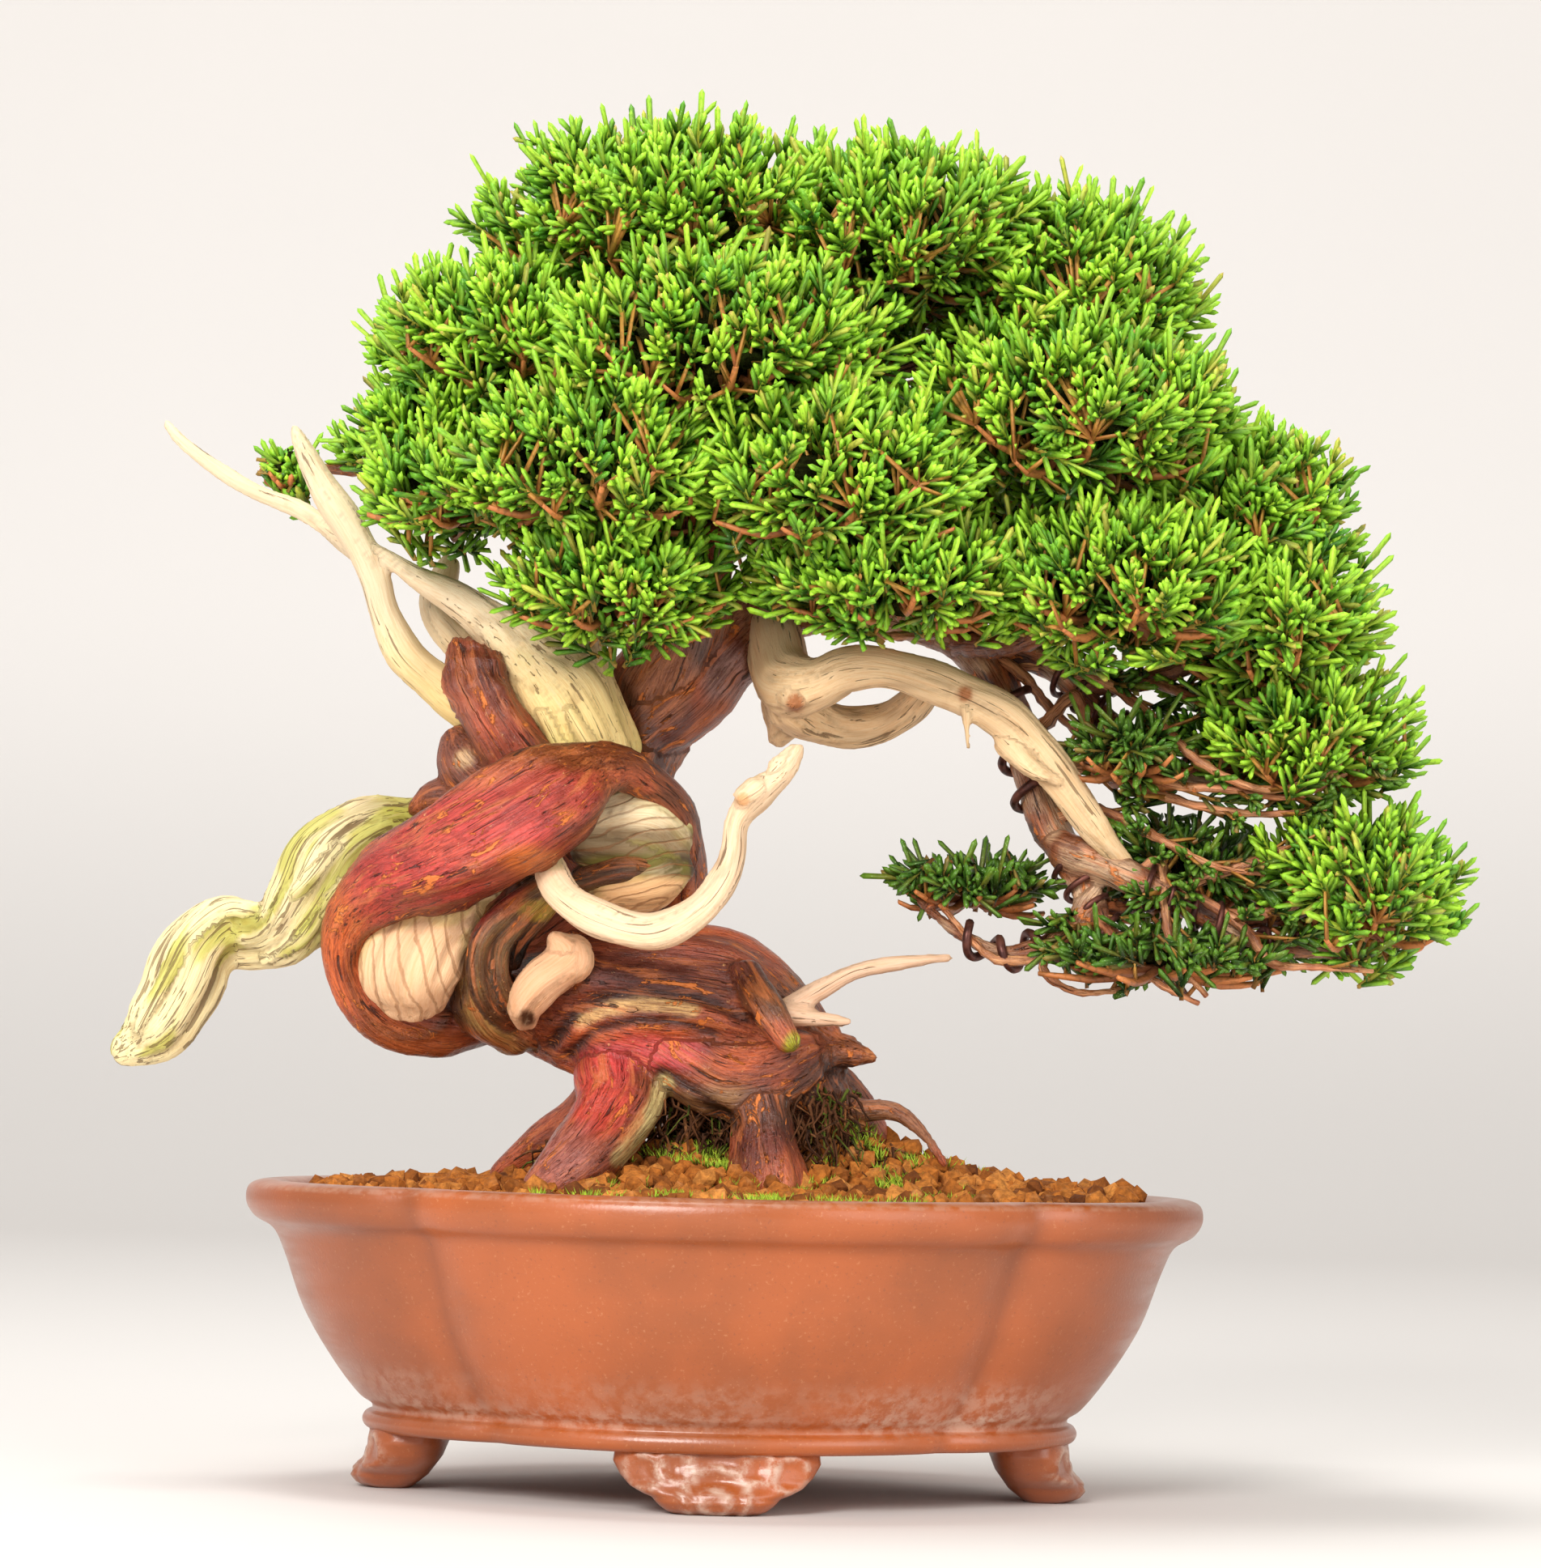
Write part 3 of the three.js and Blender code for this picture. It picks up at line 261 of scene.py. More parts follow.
# Training wires: the limb each is wound on, between which shares of its path, and the turns.
WIRES = {
    "training_wire_branch": ("right_branch", 0.55, 0.68, 3),
    "training_wire_fork": ("return_fork", 0.2, 0.72, 3),
}
THIN_WIRES = [("upper_fork", 0.3, 0.75, 6), ("lower_fork", 0.3, 0.85, 6), ("right_branch", 0.74, 0.95, 5)]

# Patches of colour on the bark: middle and half sizes in millimetres, colour on a screen and strength.
BARK_PATCHES = [
    ((-50, -27, 101), (14, 12, 8), (204, 58, 52), 0.85),      # crimson along the coil
    ((-39, -34, 108), (13, 12, 6), (214, 66, 62), 0.85),
    ((-28, -34, 114), (9, 12, 5), (190, 68, 58), 0.8),
    ((-65, -18, 91), (4.5, 12, 13), (228, 108, 44), 0.85),     # orange round its left end
    ((-51, -12, 73.5), (16, 12, 3.5), (206, 112, 60), 0.8),
    ((-33, -34, 104), (6, 12, 2.5), (226, 120, 40), 0.8),     # orange chips under it
    ((-8, -8, 110), (6, 14, 14), (142, 78, 48), 0.85),        # its brown curl
    ((-28, -22, 122.5), (16, 14, 3.5), (136, 70, 34), 0.85),
    ((-40, -14, 137), (9, 12, 5), (96, 40, 28), 0.75),        # thumb and knobs
    ((-36, -14, 124), (4, 12, 8), (170, 66, 38), 0.7),
    ((-46, -6, 120), (9, 10, 10), (126, 76, 56), 0.7),
    ((-45, -10, 121.2), (1.7, 4, 1.7), (226, 184, 134), 0.95),
    ((-2, -2, 137), (5, 10, 8), (176, 140, 132), 0.75),       # grey and orange on the first branch
    ((-3, -2, 129), (5, 10, 4), (196, 104, 52), 0.75),
    ((-11, 0, 129), (5, 10, 8), (112, 66, 56), 0.8),
    ((-13, -16, 87), (20, 12, 6.5), (110, 58, 48), 0.85),      # plum belly
    ((-31, -10, 75), (5, 10, 6), (140, 72, 44), 0.7),
    ((-14, -16, 75.5), (14, 12, 2.8), (222, 104, 46), 0.8),   # orange and crimson below the split
    ((-20, -16, 71.5), (10, 12, 3), (160, 48, 54), 0.85),
    ((-3, -16, 73), (7, 12, 3.2), (72, 38, 34), 0.85),
    ((1, -14, 64.6), (10, 12, 4), (160, 128, 84), 0.75),      # tan skirt
    ((-20, -17, 65), (6, 12, 7), (214, 74, 62), 0.85),        # left root
    ((-28, -22, 56.5), (7, 12, 5), (176, 112, 104), 0.7),
    ((6, -18, 61), (5, 8, 9), (104, 56, 50), 0.85),           # front root
    ((17, -6, 66), (8, 16, 10), (82, 56, 42), 0.85),          # old right side
    ((13, -10, 84), (6, 12, 7), (150, 122, 102), 0.75),
    ((8, -14, 84), (3.5, 10, 5), (124, 72, 44), 0.8),
    ((11.4, -21.6, 74.6), (2.2, 3, 2.2), (190, 190, 44), 1.0),
    ((26, -6, 73.2), (4, 4, 3), (206, 116, 56), 0.8),
    ((-51.5, -16, 75.8), (1.5, 4, 1.3), (70, 42, 26), 1.0),   # knots in the coil's rim and on the trunk
    ((-51.5, -18, 75.8), (0.6, 4, 0.5), (200, 160, 110), 1.0),
    # a near-black patch at the mouth of the small hole beside the swan: painted shadow
    ((-34, -18, 89.3), (2.6, 6, 2.8), (20, 13, 10), 1.0),
    ((-32, -18, 96.2), (3.4, 5, 1.6), (206, 176, 62), 0.8),
    ((30, -1, 62), (8, 5, 6), (164, 116, 80), 0.8),
    ((22, -4, 74), (5, 6, 4), (150, 84, 44), 0.9),
    ((6, -17, 81.5), (4.5, 5, 5), (118, 76, 46), 0.8),
    ((8, -12, 87), (5, 6, 4), (74, 40, 32), 0.6),
    ((-14, -15, 86), (9, 5, 2), (98, 48, 42), 0.7),
    ((18, -4, 71), (3, 6, 2), (58, 34, 24), 0.8),
    ((25, -6, 74), (2, 4, 1.5), (224, 140, 76), 0.8),
    ((-54, -20, 84), (4, 7, 6), (226, 96, 44), 0.7),
    ((-46, -25, 76), (8, 9, 3), (196, 86, 40), 0.7),
    ((-44, -32, 105), (7, 5, 2.5), (232, 104, 70), 0.5),
    ((-27, -30, 111), (3, 6, 2), (232, 124, 56), 0.7),
    ((-12, -15, 73), (8, 7, 3.2), (224, 78, 76), 0.85),
    ((2, -14, 72), (6, 7, 2.4), (228, 112, 60), 0.75),
    ((-12, 6, 136), (6, 14, 8), (206, 128, 84), 0.8),
    ((2, 8, 147), (10, 14, 5), (216, 150, 110), 0.8),
    ((-15, 8, 122), (4, 12, 8), (96, 64, 58), 0.7),
    ((-6, 4, 141), (3, 12, 4), (88, 60, 52), 0.7),
    ((-44, -10, 138), (5, 5, 5), (150, 70, 40), 0.6),
    ((-40, -12, 127), (3, 5, 5), (206, 86, 48), 0.7),
    ((-36, -12, 119), (4, 5, 3), (180, 60, 52), 0.7),
    ((-16, -16, 92), (2.4, 6, 1.2), (196, 96, 60), 0.7),
    ((-5, -16, 90), (6, 8, 1.2), (168, 84, 66), 0.6),
]

# Splits in the bark as lines of (x, z) seen from the front: half width, depth and the colour inside.
SPLITS = [
    ([(-24.7, 78), (-20.6, 80.2), (-15.4, 81.1), (-10.2, 81.1), (-6, 80.4)],
     1.0, 0.8, (248, 200, 130)),
    ([(-29.5, 74), (-25, 79.8), (-20.4, 82.2), (-15, 83.1), (-9, 83), (-3, 82), (3, 79)],
     0.8, 0.9, (58, 30, 26)),
    ([(-27, 72), (-22, 76.6), (-15, 78.4), (-8, 78.2), (-2, 76.4)], 0.6, 0.6, (66, 32, 26)),
    ([(-11, 69.9), (-6.4, 67.3), (1.1, 61.9)], 0.9, 0.8, (60, 30, 24)),
    ([(-10.5, 67.9), (-11, 65), (-12.9, 61.9), (-14.8, 58.5), (-16.8, 55.8)], 1.5, 0.3, (214, 196, 130)),
]

# Where fine roots hang: middle and half sizes in millimetres, and how many.
ROOT_NESTS = [
    ((-4, -5, 61), (8, 6, 6), 420), ((14, -3, 62.5), (7, 8, 6), 440), ((23, -1, 56.5), (6, 5, 2.5), 90),
    ((-24, -4, 55), (7, 7, 3), 140), ((4, 4, 60), (14, 6, 6), 160),
]

# Small forms that the dead wood carries besides its limbs.
DEAD_DETAILS = {
    "deadwood_swan": [
        [(-26.8, -15.5, 91.2, 1.7), (-24.5, -17, 89.4, 2.2), (-24.3, -17.5, 87.2, 2),
         (-26.5, -17, 85, 1.6)],
        [(-26.6, -16, 88, 3), (-28, -17, 90.4, 2.6), (-29.4, -17.3, 91.8, 1.5)],
        [(-33, -15, 82.5, 3), (-35, -16, 80.5, 1.8), (-35, -15.5, 78.6, 1.4)],
    ],
    "deadwood_arch": [
        [(45, -10, 126, 2.4), (49.5, -12.2, 121.5, 1.7), (54, -12.4, 119.4, 0.5)],
        [(38.2, -12, 131.5, 1), (38.4, -12.4, 127.6, 0.7), (38.8, -12, 124.6, 0.5)],
        [(9, -5, 134, 3), (9.8, -8.5, 132.2, 1.9), (10, -10, 131.6, 1)],
    ],
    "deadwood_crescent": [
        [(1.2, -38.5, 114.4, 1.7), (3.6, -37.5, 116.4, 1.9)],
        [(6.4, -36.5, 119.6, 1.3), (9.6, -35.6, 123.4, 0.5)],
    ],
    "deadwood_tail": [
        [(-66, -10, 106, 1.3), (-71, -12.5, 99, 1.6), (-77, -6, 95, 1.4), (-84, -3, 95.5, 1.5),
         (-90, -6, 91, 1.5), (-94, -9, 83, 1.3), (-98, -9, 75, 1)],
        [(-62, -7, 104, 1.4), (-66.5, -11, 98, 1.5), (-71, -10, 91, 1.4), (-78, -4, 87, 1.2)],
    ],
    "deadwood_antlers": [
        [(-30, -11, 133, 1.4), (-25, -12.5, 125, 1.6), (-20, -10.5, 117, 1.4)],
        [(-36, -9, 136, 1.2), (-31, -12, 127, 1.4), (-27, -11.5, 119, 1.3)],
    ],
}

# Main colour of each piece of dead wood, how far from the bark algae grow on it, and how thick.
DEADWOOD_TONES = {
    "deadwood_tail": ((246, 230, 170), 8, 0.6),
    "deadwood_antlers": ((238, 214, 178), 10, 0.7),
    "deadwood_crescent": ((252, 214, 176), 1.0, 0.3),
    "deadwood_swan": ((244, 178, 130), 1, 0.1),
    "deadwood_cheek": ((250, 192, 142), 2, 0.3),
    "deadwood_hollow": ((255, 234, 190), 4, 0.3),
    "deadwood_arch": ((255, 214, 162), 1, 0.1),
    "deadwood_spur": ((226, 180, 150), 1, 0.1),
}

# Knots that show from the front: middle in x and z, radius and colour.
KNOTS = [
    ((-33.2, 78.4), 1.3, (84, 50, 30)), ((9.8, 131.9), 1.5, (200, 130, 84)),
    ((37.9, 133.8), 1.3, (196, 126, 80)), ((1.6, 114.2), 1.1, (232, 176, 124)),
]

# Lamps: place and aim in metres, size, and power as a share of the key lamp's.
LAMPS = {
    "key": ((-0.45, -1.2, 0.7), (0, 0, 0.12), 0.5, 1.0),
    "fill": ((0.95, -1.0, 0.5), (0, 0, 0.12), 0.9, 0.38),
    "top": ((-0.12, 0.02, 1.3), (0, 0, 0.12), 0.45, 0.5),
    "backdrop": ((-0.3, 0.5, 1.3), (-0.2, 1.7, 0.2), 1.4, 0.06),
}
LAMP_COLOUR = (1.0, 0.985, 0.965)
SKY_COLOUR = (1.0, 0.99, 0.985, 1.0)
SKY_STRENGTH = 0.56

# The camera from the middle of the pot: how far to the side, its height and the height of its aim in
# metres, how far it leans, and its lens at the distance of 0.9 m.
CAMERA_ASIDE, CAMERA_HEIGHT, CAMERA_AIM = 0.006, 0.075, 0.1187
CAMERA_LEAN = math.radians(1.35)
CAMERA_LENS = 123

GOLDEN_ANGLE = math.pi * (3 - math.sqrt(5))


def screen(red, green, blue):
    """A colour given as it shows on a screen, 0 to 255, as the linear values that materials take."""
    shown = np.array([red, green, blue]) / 255
    return tuple(np.where(shown <= 0.04045, shown / 12.92, ((shown + 0.055) / 1.055) ** 2.4))


class StageSettings(bpy.types.PropertyGroup):
    """Floor, light and camera."""

    floor_colour: FloatVectorProperty(
        name="Floor", description="Colour of the floor and backdrop", subtype="COLOR",
        default=screen(251, 247, 243))
    key_power: FloatProperty(
        name="Key light", description="Power of the large lamp at the upper left", unit="POWER", default=16.5)
    camera_distance: FloatProperty(
        name="Camera distance", description="From the middle of the pot", unit="LENGTH", default=0.9)


class PotSettings(bpy.types.PropertyGroup):
    """Unglazed clay pot."""

    clay_colour: FloatVectorProperty(
        name="Clay", description="Main colour of the burnished clay", subtype="COLOR",
        default=screen(169, 87, 37))
    deposit_colour: FloatVectorProperty(
        name="Lime", description="Colour of the lime that hard water leaves", subtype="COLOR",
        default=screen(222, 200, 180))


class SoilSettings(bpy.types.PropertyGroup):
    """Fired clay granules and moss."""

    grain_size: FloatProperty(
        name="Grain size", description="Middle size of the granules", unit="LENGTH", default=0.0033)
    grain_colour: FloatVectorProperty(
        name="Grains", description="Middle colour of the granules", subtype="COLOR",
        default=screen(196, 116, 44))
    moss_colour: FloatVectorProperty(
        name="Moss", description="Colour of the moss tufts", subtype="COLOR", default=screen(178, 208, 46))


class WoodSettings(bpy.types.PropertyGroup):
    """Live bark and bare dead wood."""

    bark_colour: FloatVectorProperty(
        name="Bark", description="Main colour of the live bark", subtype="COLOR",
        default=screen(200, 100, 60))
    deadwood_colour: FloatVectorProperty(
        name="Dead wood", description="Main colour of the bleached wood", subtype="COLOR",
        default=screen(246, 226, 192))
    voxel: FloatProperty(
        name="Detail", description="Size of the smallest form in the wood", unit="LENGTH", default=0.00085)


class FoliageSettings(bpy.types.PropertyGroup):
    """Scale-leaved shoots in sprays."""

    shoot_radius: FloatProperty(
        name="Shoot radius", description="Half the thickness of a shoot", unit="LENGTH", default=0.00055)
    spray_length: FloatProperty(
        name="Spray length", description="From the root of a spray to its tip", unit="LENGTH", default=0.0098)
    spray_area: FloatProperty(
        name="Spray area", description="Square millimetres of pad surface for each spray", default=28.5)
    tip_colour: FloatVectorProperty(
        name="Tips", description="Colour of the young tips", subtype="COLOR", default=screen(196, 248, 62))
    shoot_colour: FloatVectorProperty(
        name="Shoots", description="Colour of the grown shoots", subtype="COLOR", default=screen(92, 168, 34))


def smooth_noise(places, size, seed=0):
    """Value noise from -1 to 1: a fixed random number at each corner of a grid of cells of the given
    size, blended inside the cell by the smooth step 3t^2 - 2t^3 along each axis."""
    scaled = np.asarray(places, float) / np.asarray(size, float)
    cell = np.floor(scaled).astype(np.int64)
    inside = scaled - cell
    inside = inside * inside * (3 - 2 * inside)
    total = np.zeros(len(scaled))
    for corner in range(8):
        step = np.array([corner & 1, (corner >> 1) & 1, (corner >> 2) & 1])
        mixed = (cell + step) @ np.array([374761393, 668265263, 1442695041]) + seed * 1274126177
        mixed = (mixed ^ (mixed >> 13)) * 1274126177
        value = ((mixed ^ (mixed >> 16)) & 0xFFFF) / 0xFFFF
        total += value * np.prod(np.where(step == 1, inside, 1 - inside), axis=1)
    return total * 2 - 1


def rough_noise(places, size, seed=0, octaves=3):
    """Value noise summed over octaves, each half the size and half the height of the one before."""
    size = np.asarray(size, float)
    return sum(smooth_noise(places, size / 2 ** k, seed + k) / 2 ** k for k in range(octaves))


def smooth_step(low, high, value):
    """0 below low, 1 above high, and 3t^2 - 2t^3 between."""
    t = np.clip((value - low) / (high - low), 0, 1)
    return t * t * (3 - 2 * t)


def blend_colours(first, second, share):
    """Each row of colours a share of the way from the first to the second."""
    share = np.asarray(share)[..., None]
    return np.asarray(first) * (1 - share) + np.asarray(second) * share


def paint(colour, share, *shown):
    """Rows of colours with a colour as it shows on a screen laid over a share of each."""
    return blend_colours(colour, screen(*shown), share)


def unit(vectors):
    """The vectors drawn to a length of one."""
    return vectors / np.maximum(np.linalg.norm(vectors, axis=-1, keepdims=True), 1e-9)


def directions(height, turn):
    """Unit vectors at the given heights, turned about Z."""
    ring = np.sqrt(1 - height ** 2)
    return np.stack([ring * np.cos(turn), ring * np.sin(turn), height], axis=-1)


def grid_faces(rows, columns, wrap=True):
    """Four-sided faces of a grid of vertices numbered row by row, joined round its columns if wrapped."""
    row = np.arange(rows - 1)[:, None] * columns
    column = np.arange(columns if wrap else columns - 1)[None, :]
    following = (column + 1) % columns
    return np.stack([row + column, row + following, row + columns + following, row + columns + column],
                    axis=-1).reshape(-1, 4)


def fan_faces(ring, centre, inward):
    """Triangles from a ring of vertex numbers to one centre vertex."""
    following = np.roll(ring, -1)
    middle = np.full(len(ring), centre)
    order = (following, ring, middle) if inward else (ring, following, middle)
    return np.stack(order, axis=-1)


def closed_rings(rings, ends, turned=False):
    """Vertices and faces of a stack of rings with a fan to a centre at each end. Turned flips the faces."""
    rows, columns = rings.shape[:2]
    first, last = np.arange(columns), np.arange(columns) + (rows - 1) * columns
    walls = grid_faces(rows, columns)
    faces = [walls[:, ::-1] if turned else walls, fan_faces(first, rows * columns, not turned),
             fan_faces(last, rows * columns + 1, turned)]
    return np.concatenate([rings.reshape(-1, 3), np.array(ends)]), faces


def copied_faces(count, vertices, *blocks):
    """Faces of so many copies of one shape, from the blocks of faces and the count of vertices of one."""
    shift = (np.arange(count) * vertices)[:, None, None]
    return [(block[None] + shift).reshape(-1, block.shape[1]) for block in blocks]


def prisms(spine, along, tilt, sides, width):
    """Thin flat-ended twigs, all at once. Round each sample of each spine stands a ring of so many corners,
    a width away and square to along. Tilt is any direction that along never points in."""
    count, rows = spine.shape[:2]
    side = unit(np.cross(along, np.array(tilt)))
    other = np.cross(along, side)
    angle = np.arange(sides) * 2 * math.pi / sides
    around = side[:, :, None] * np.cos(angle)[:, None] + other[:, :, None] * np.sin(angle)[:, None]
    first = np.arange(sides)[None]
    last = first + (rows - 1) * sides
    faces = copied_faces(count, rows * sides, grid_faces(rows, sides), first[:, ::-1], last)
    return (spine[:, :, None] + around * width).reshape(-1, 3), faces


def new_piece(name, places, faces, material, replaced=(), attributes=None, colours=None, smooth=True,
              inner=None):
    """A mesh object from vertices in millimetres round the pot and arrays of faces. Inner is a second
    finish and how many of the first faces take it."""
    mesh = bpy.data.meshes.new(name)
    places = np.asarray(places, float)
    corners = np.concatenate([np.asarray(block).ravel() for block in faces])
    sizes = np.concatenate([np.full(len(block), np.asarray(block).shape[1]) for block in faces])
    starts = np.concatenate([[0], np.cumsum(sizes)[:-1]])
    mesh.vertices.add(len(places))
    mesh.loops.add(len(corners))
    mesh.polygons.add(len(sizes))
    mesh.vertices.foreach_set("co", (places * MM + POT_MIDDLE).astype(np.float32).ravel())
    mesh.loops.foreach_set("vertex_index", corners.astype(np.int32))
    mesh.polygons.foreach_set("loop_start", starts.astype(np.int32))
    mesh.polygons.foreach_set("use_smooth", np.full(len(sizes), smooth))
    for key, values in (attributes or {}).items():
        layer = mesh.attributes.new(key, "FLOAT_VECTOR", "POINT")
        layer.data.foreach_set("vector", np.asarray(values, np.float32).ravel())
    for key, values in (colours or {}).items():
        layer = mesh.attributes.new(key, "FLOAT_COLOR", "POINT")
        whole = np.concatenate([np.clip(values, 0, 1), np.ones((len(places), 1))], axis=1)
        layer.data.foreach_set("color", whole.astype(np.float32).ravel())
    mesh.update(calc_edges=True)
    mesh.validate()
    mesh.materials.append(material)
    if inner:
        mesh.materials.append(inner[0])
        mesh.polygons.foreach_set("material_index", (np.arange(len(sizes)) < inner[1]).astype(np.int32))
    piece = bpy.data.objects.new(name, mesh)
    bpy.context.scene.collection.objects.link(piece)
    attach(piece, "root")
    if replaced:
        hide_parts(*replaced)
    return piece


def merge_parts(parts):
    """Joins (vertices, faces) parts into one list of vertices and one list of faces."""
    places, faces, start = [], [], 0
    for vertices, blocks in parts:
        places.append(vertices)
        faces.extend(block + start for block in blocks)
        start += len(vertices)
    return np.concatenate(places), faces


def smooth_path(path, per_point):
    """Centripetal Catmull-Rom curve through the points of a path, with per_point samples from one point
    to the next. The last column, the radius, runs through the same curve."""
    points = np.asarray(path, float)
    points = np.vstack([2 * points[0] - points[1], points, 2 * points[-1] - points[-2]])
    gaps = np.maximum(np.linalg.norm(np.diff(points[:, :3], axis=0), axis=1) ** 0.5, 1e-4)[:, None]
    p0, p1, p2, p3 = points[:-3], points[1:-2], points[2:-1], points[3:]
    d0, d1, d2 = gaps[:-2], gaps[1:-1], gaps[2:]
    leave = ((p1 - p0) / d0 - (p2 - p0) / (d0 + d1) + (p2 - p1) / d1) * d1
    reach = ((p2 - p1) / d1 - (p3 - p1) / (d1 + d2) + (p3 - p2) / d2) * d1
    t = (np.arange(per_point) / per_point)[None, :, None]
    a, b, la, lb = p1[:, None], p2[:, None], leave[:, None], reach[:, None]
    curve = a + la * t + (3 * (b - a) - 2 * la - lb) * t ** 2 + (2 * (a - b) + la + lb) * t ** 3
    return np.vstack([curve.reshape(-1, points.shape[1]), points[-2]])


def follow(path, per_point):
    """Samples of a path with the direction along it, two directions square to that which turn no more
    than the path does, and the length so far."""
    curve = smooth_path(path, per_point)
    centre, radius = curve[:, :3], np.maximum(curve[:, 3], 0.3)
    along = np.gradient(centre, axis=0)
    along /= np.linalg.norm(along, axis=1)[:, None]
    across = np.array([1.0, 0, 0]) if abs(along[0, 2]) > 0.8 else np.array([0, 0, 1.0])
    turned = []
    for direction in along:
        across = across - direction * (across @ direction)
        across = across / np.linalg.norm(across)
        turned.append(across)
    across = np.array(turned)
    length = np.concatenate([[0], np.cumsum(np.linalg.norm(np.diff(centre, axis=0), axis=1))])
    return {"centre": centre, "radius": radius, "along": along, "across": across,
            "beside": np.cross(along, across), "length": length}


def tube(line, sides, factor=None, blunt=0.5):
    """A closed tube along a followed path. Its radius at each sample and angle is the path's radius
    times factor(angle, length). Both ends close over a short round cap."""
    angle = np.linspace(0, 2 * math.pi, sides, endpoint=False)[None, :]
    radius = line["radius"][:, None] * np.ones_like(angle)
    if factor is not None:
        radius = radius * factor(angle, line["length"][:, None])
    across, beside = line["across"][:, None], line["beside"][:, None]
    out = np.cos(angle)[..., None] * across - np.sin(angle)[..., None] * beside
    rings = line["centre"][:, None] + out * radius[..., None]
    cap_in, cap_out = [], []
    for share in (0.45, 0.8):
        lift = blunt * math.sin(math.acos(1 - share))
        draw = 1 - share * 0.62
        for ends, index, sign in ((cap_in, 0, -1), (cap_out, -1, 1)):
            end = line["centre"][index] + sign * lift * line["radius"][index] * line["along"][index]
            ends.append(end + out[index] * (radius[index] * draw)[:, None])
    rings = np.concatenate([cap_in[::-1], rings, cap_out])
    tips = [line["centre"][i] + sign * blunt * line["radius"][i] * line["along"][i]
            for i, sign in ((0, -1), (-1, 1))]
    return closed_rings(rings, tips)


def rough_object(parts):
    """A passing object in millimetres, for a modifier to work on."""
    places, faces = merge_parts(parts)
    mesh = bpy.data.meshes.new("rough")
    mesh.from_pydata(places.tolist(), [], [face for block in faces for face in block.tolist()])
    rough = bpy.data.objects.new("rough", mesh)
    bpy.context.scene.collection.objects.link(rough)
    return rough


def read_out(rough, others=()):
    """The mesh that an object's modifiers leave. Removes the object and the others that they used."""
    ready = rough.evaluated_get(bpy.context.evaluated_depsgraph_get())
    result = bpy.data.meshes.new_from_object(ready)
    for used in (rough, *others):
        mesh = used.data
        bpy.data.objects.remove(used)
        bpy.data.meshes.remove(mesh)
    return result


def read_array(items, key, width, kind=np.int32):
    """One row of values for each of a mesh's items."""
    values = np.empty(len(items) * width, kind)
    items.foreach_get(key, values)
    return values.reshape(-1, width)


def fuse(parts, voxel):
    """Joins overlapping closed parts into one skin of even faces. Returns vertices, faces and edges."""
    rough = rough_object(parts)
    remesh = rough.modifiers.new("skin", "REMESH")
    remesh.mode = "VOXEL"
    remesh.voxel_size = voxel
    fused = read_out(rough)
    places = read_array(fused.vertices, "co", 3, np.float32).astype(float)
    corners = read_array(fused.loops, "vertex_index", 1).reshape(-1, 4)
    edges = read_array(fused.edges, "vertices", 2)
    bpy.data.meshes.remove(fused)
    return places, corners, edges


def relax(values, edges, rounds):
    """Draws each vertex's values half way to the mean of its neighbours along the edges, so many times."""
    ends, others = np.concatenate([edges, edges[:, ::-1]]).T
    count = np.maximum(np.bincount(ends, minlength=len(values)), 1)[:, None]
    for _ in range(rounds):
        sums = [np.bincount(ends, weights=column[others], minlength=len(values)) for column in values.T]
        values = values * 0.5 + np.stack(sums, axis=1) / count * 0.5
    return values


def vertex_normals(places, quads):
    """Sum of the cross products of each face's diagonals, scaled to one."""
    crossed = np.cross(places[quads[:, 2]] - places[quads[:, 0]], places[quads[:, 3]] - places[quads[:, 1]])
    normal = np.zeros_like(places)
    for k in range(4):
        for axis in range(3):
            normal[:, axis] += np.bincount(quads[:, k], weights=crossed[:, axis], minlength=len(places))
    return unit(normal)


def nearest_on_limbs(places, lines):
    """For each place, the limb sample that it lies nearest to, with the distance as a share of the radius
    there. Returns the limb's number, the angle round it, the length along it, the share and the radius."""
    centre = np.concatenate([line["centre"] for line in lines]).astype(np.float32)
    radius = np.concatenate([line["radius"] for line in lines]).astype(np.float32)
    number = np.concatenate([np.full(len(line["centre"]), i) for i, line in enumerate(lines)])
    joined = {key: np.concatenate([line[key] for line in lines])
              for key in ("along", "across", "beside", "length")}
    nearest, share = np.empty(len(places), int), np.empty(len(places))
    for start in range(0, len(places), 6000):
        block = places[start:start + 6000].astype(np.float32)
        square = (block ** 2).sum(1)[:, None] - 2 * block @ centre.T + (centre ** 2).sum(1)[None]
        ratio = np.sqrt(np.maximum(square, 0)) / radius
        nearest[start:start + 6000] = ratio.argmin(1)
        share[start:start + 6000] = ratio.min(1)
    offset = places - centre[nearest]
    along, across, beside = ((offset * joined[key][nearest]).sum(1) for key in ("along", "across", "beside"))
    angle = np.arctan2(-beside, across)
    length = joined["length"][nearest] + along
    return number[nearest], angle, length, share, radius[nearest].astype(float)


def grain_places(angle, length, radius):
    """Coordinates in which the grain of a limb runs straight along the third axis, without a seam."""
    return np.stack([np.cos(angle) * radius, np.sin(angle) * radius, length], axis=1)


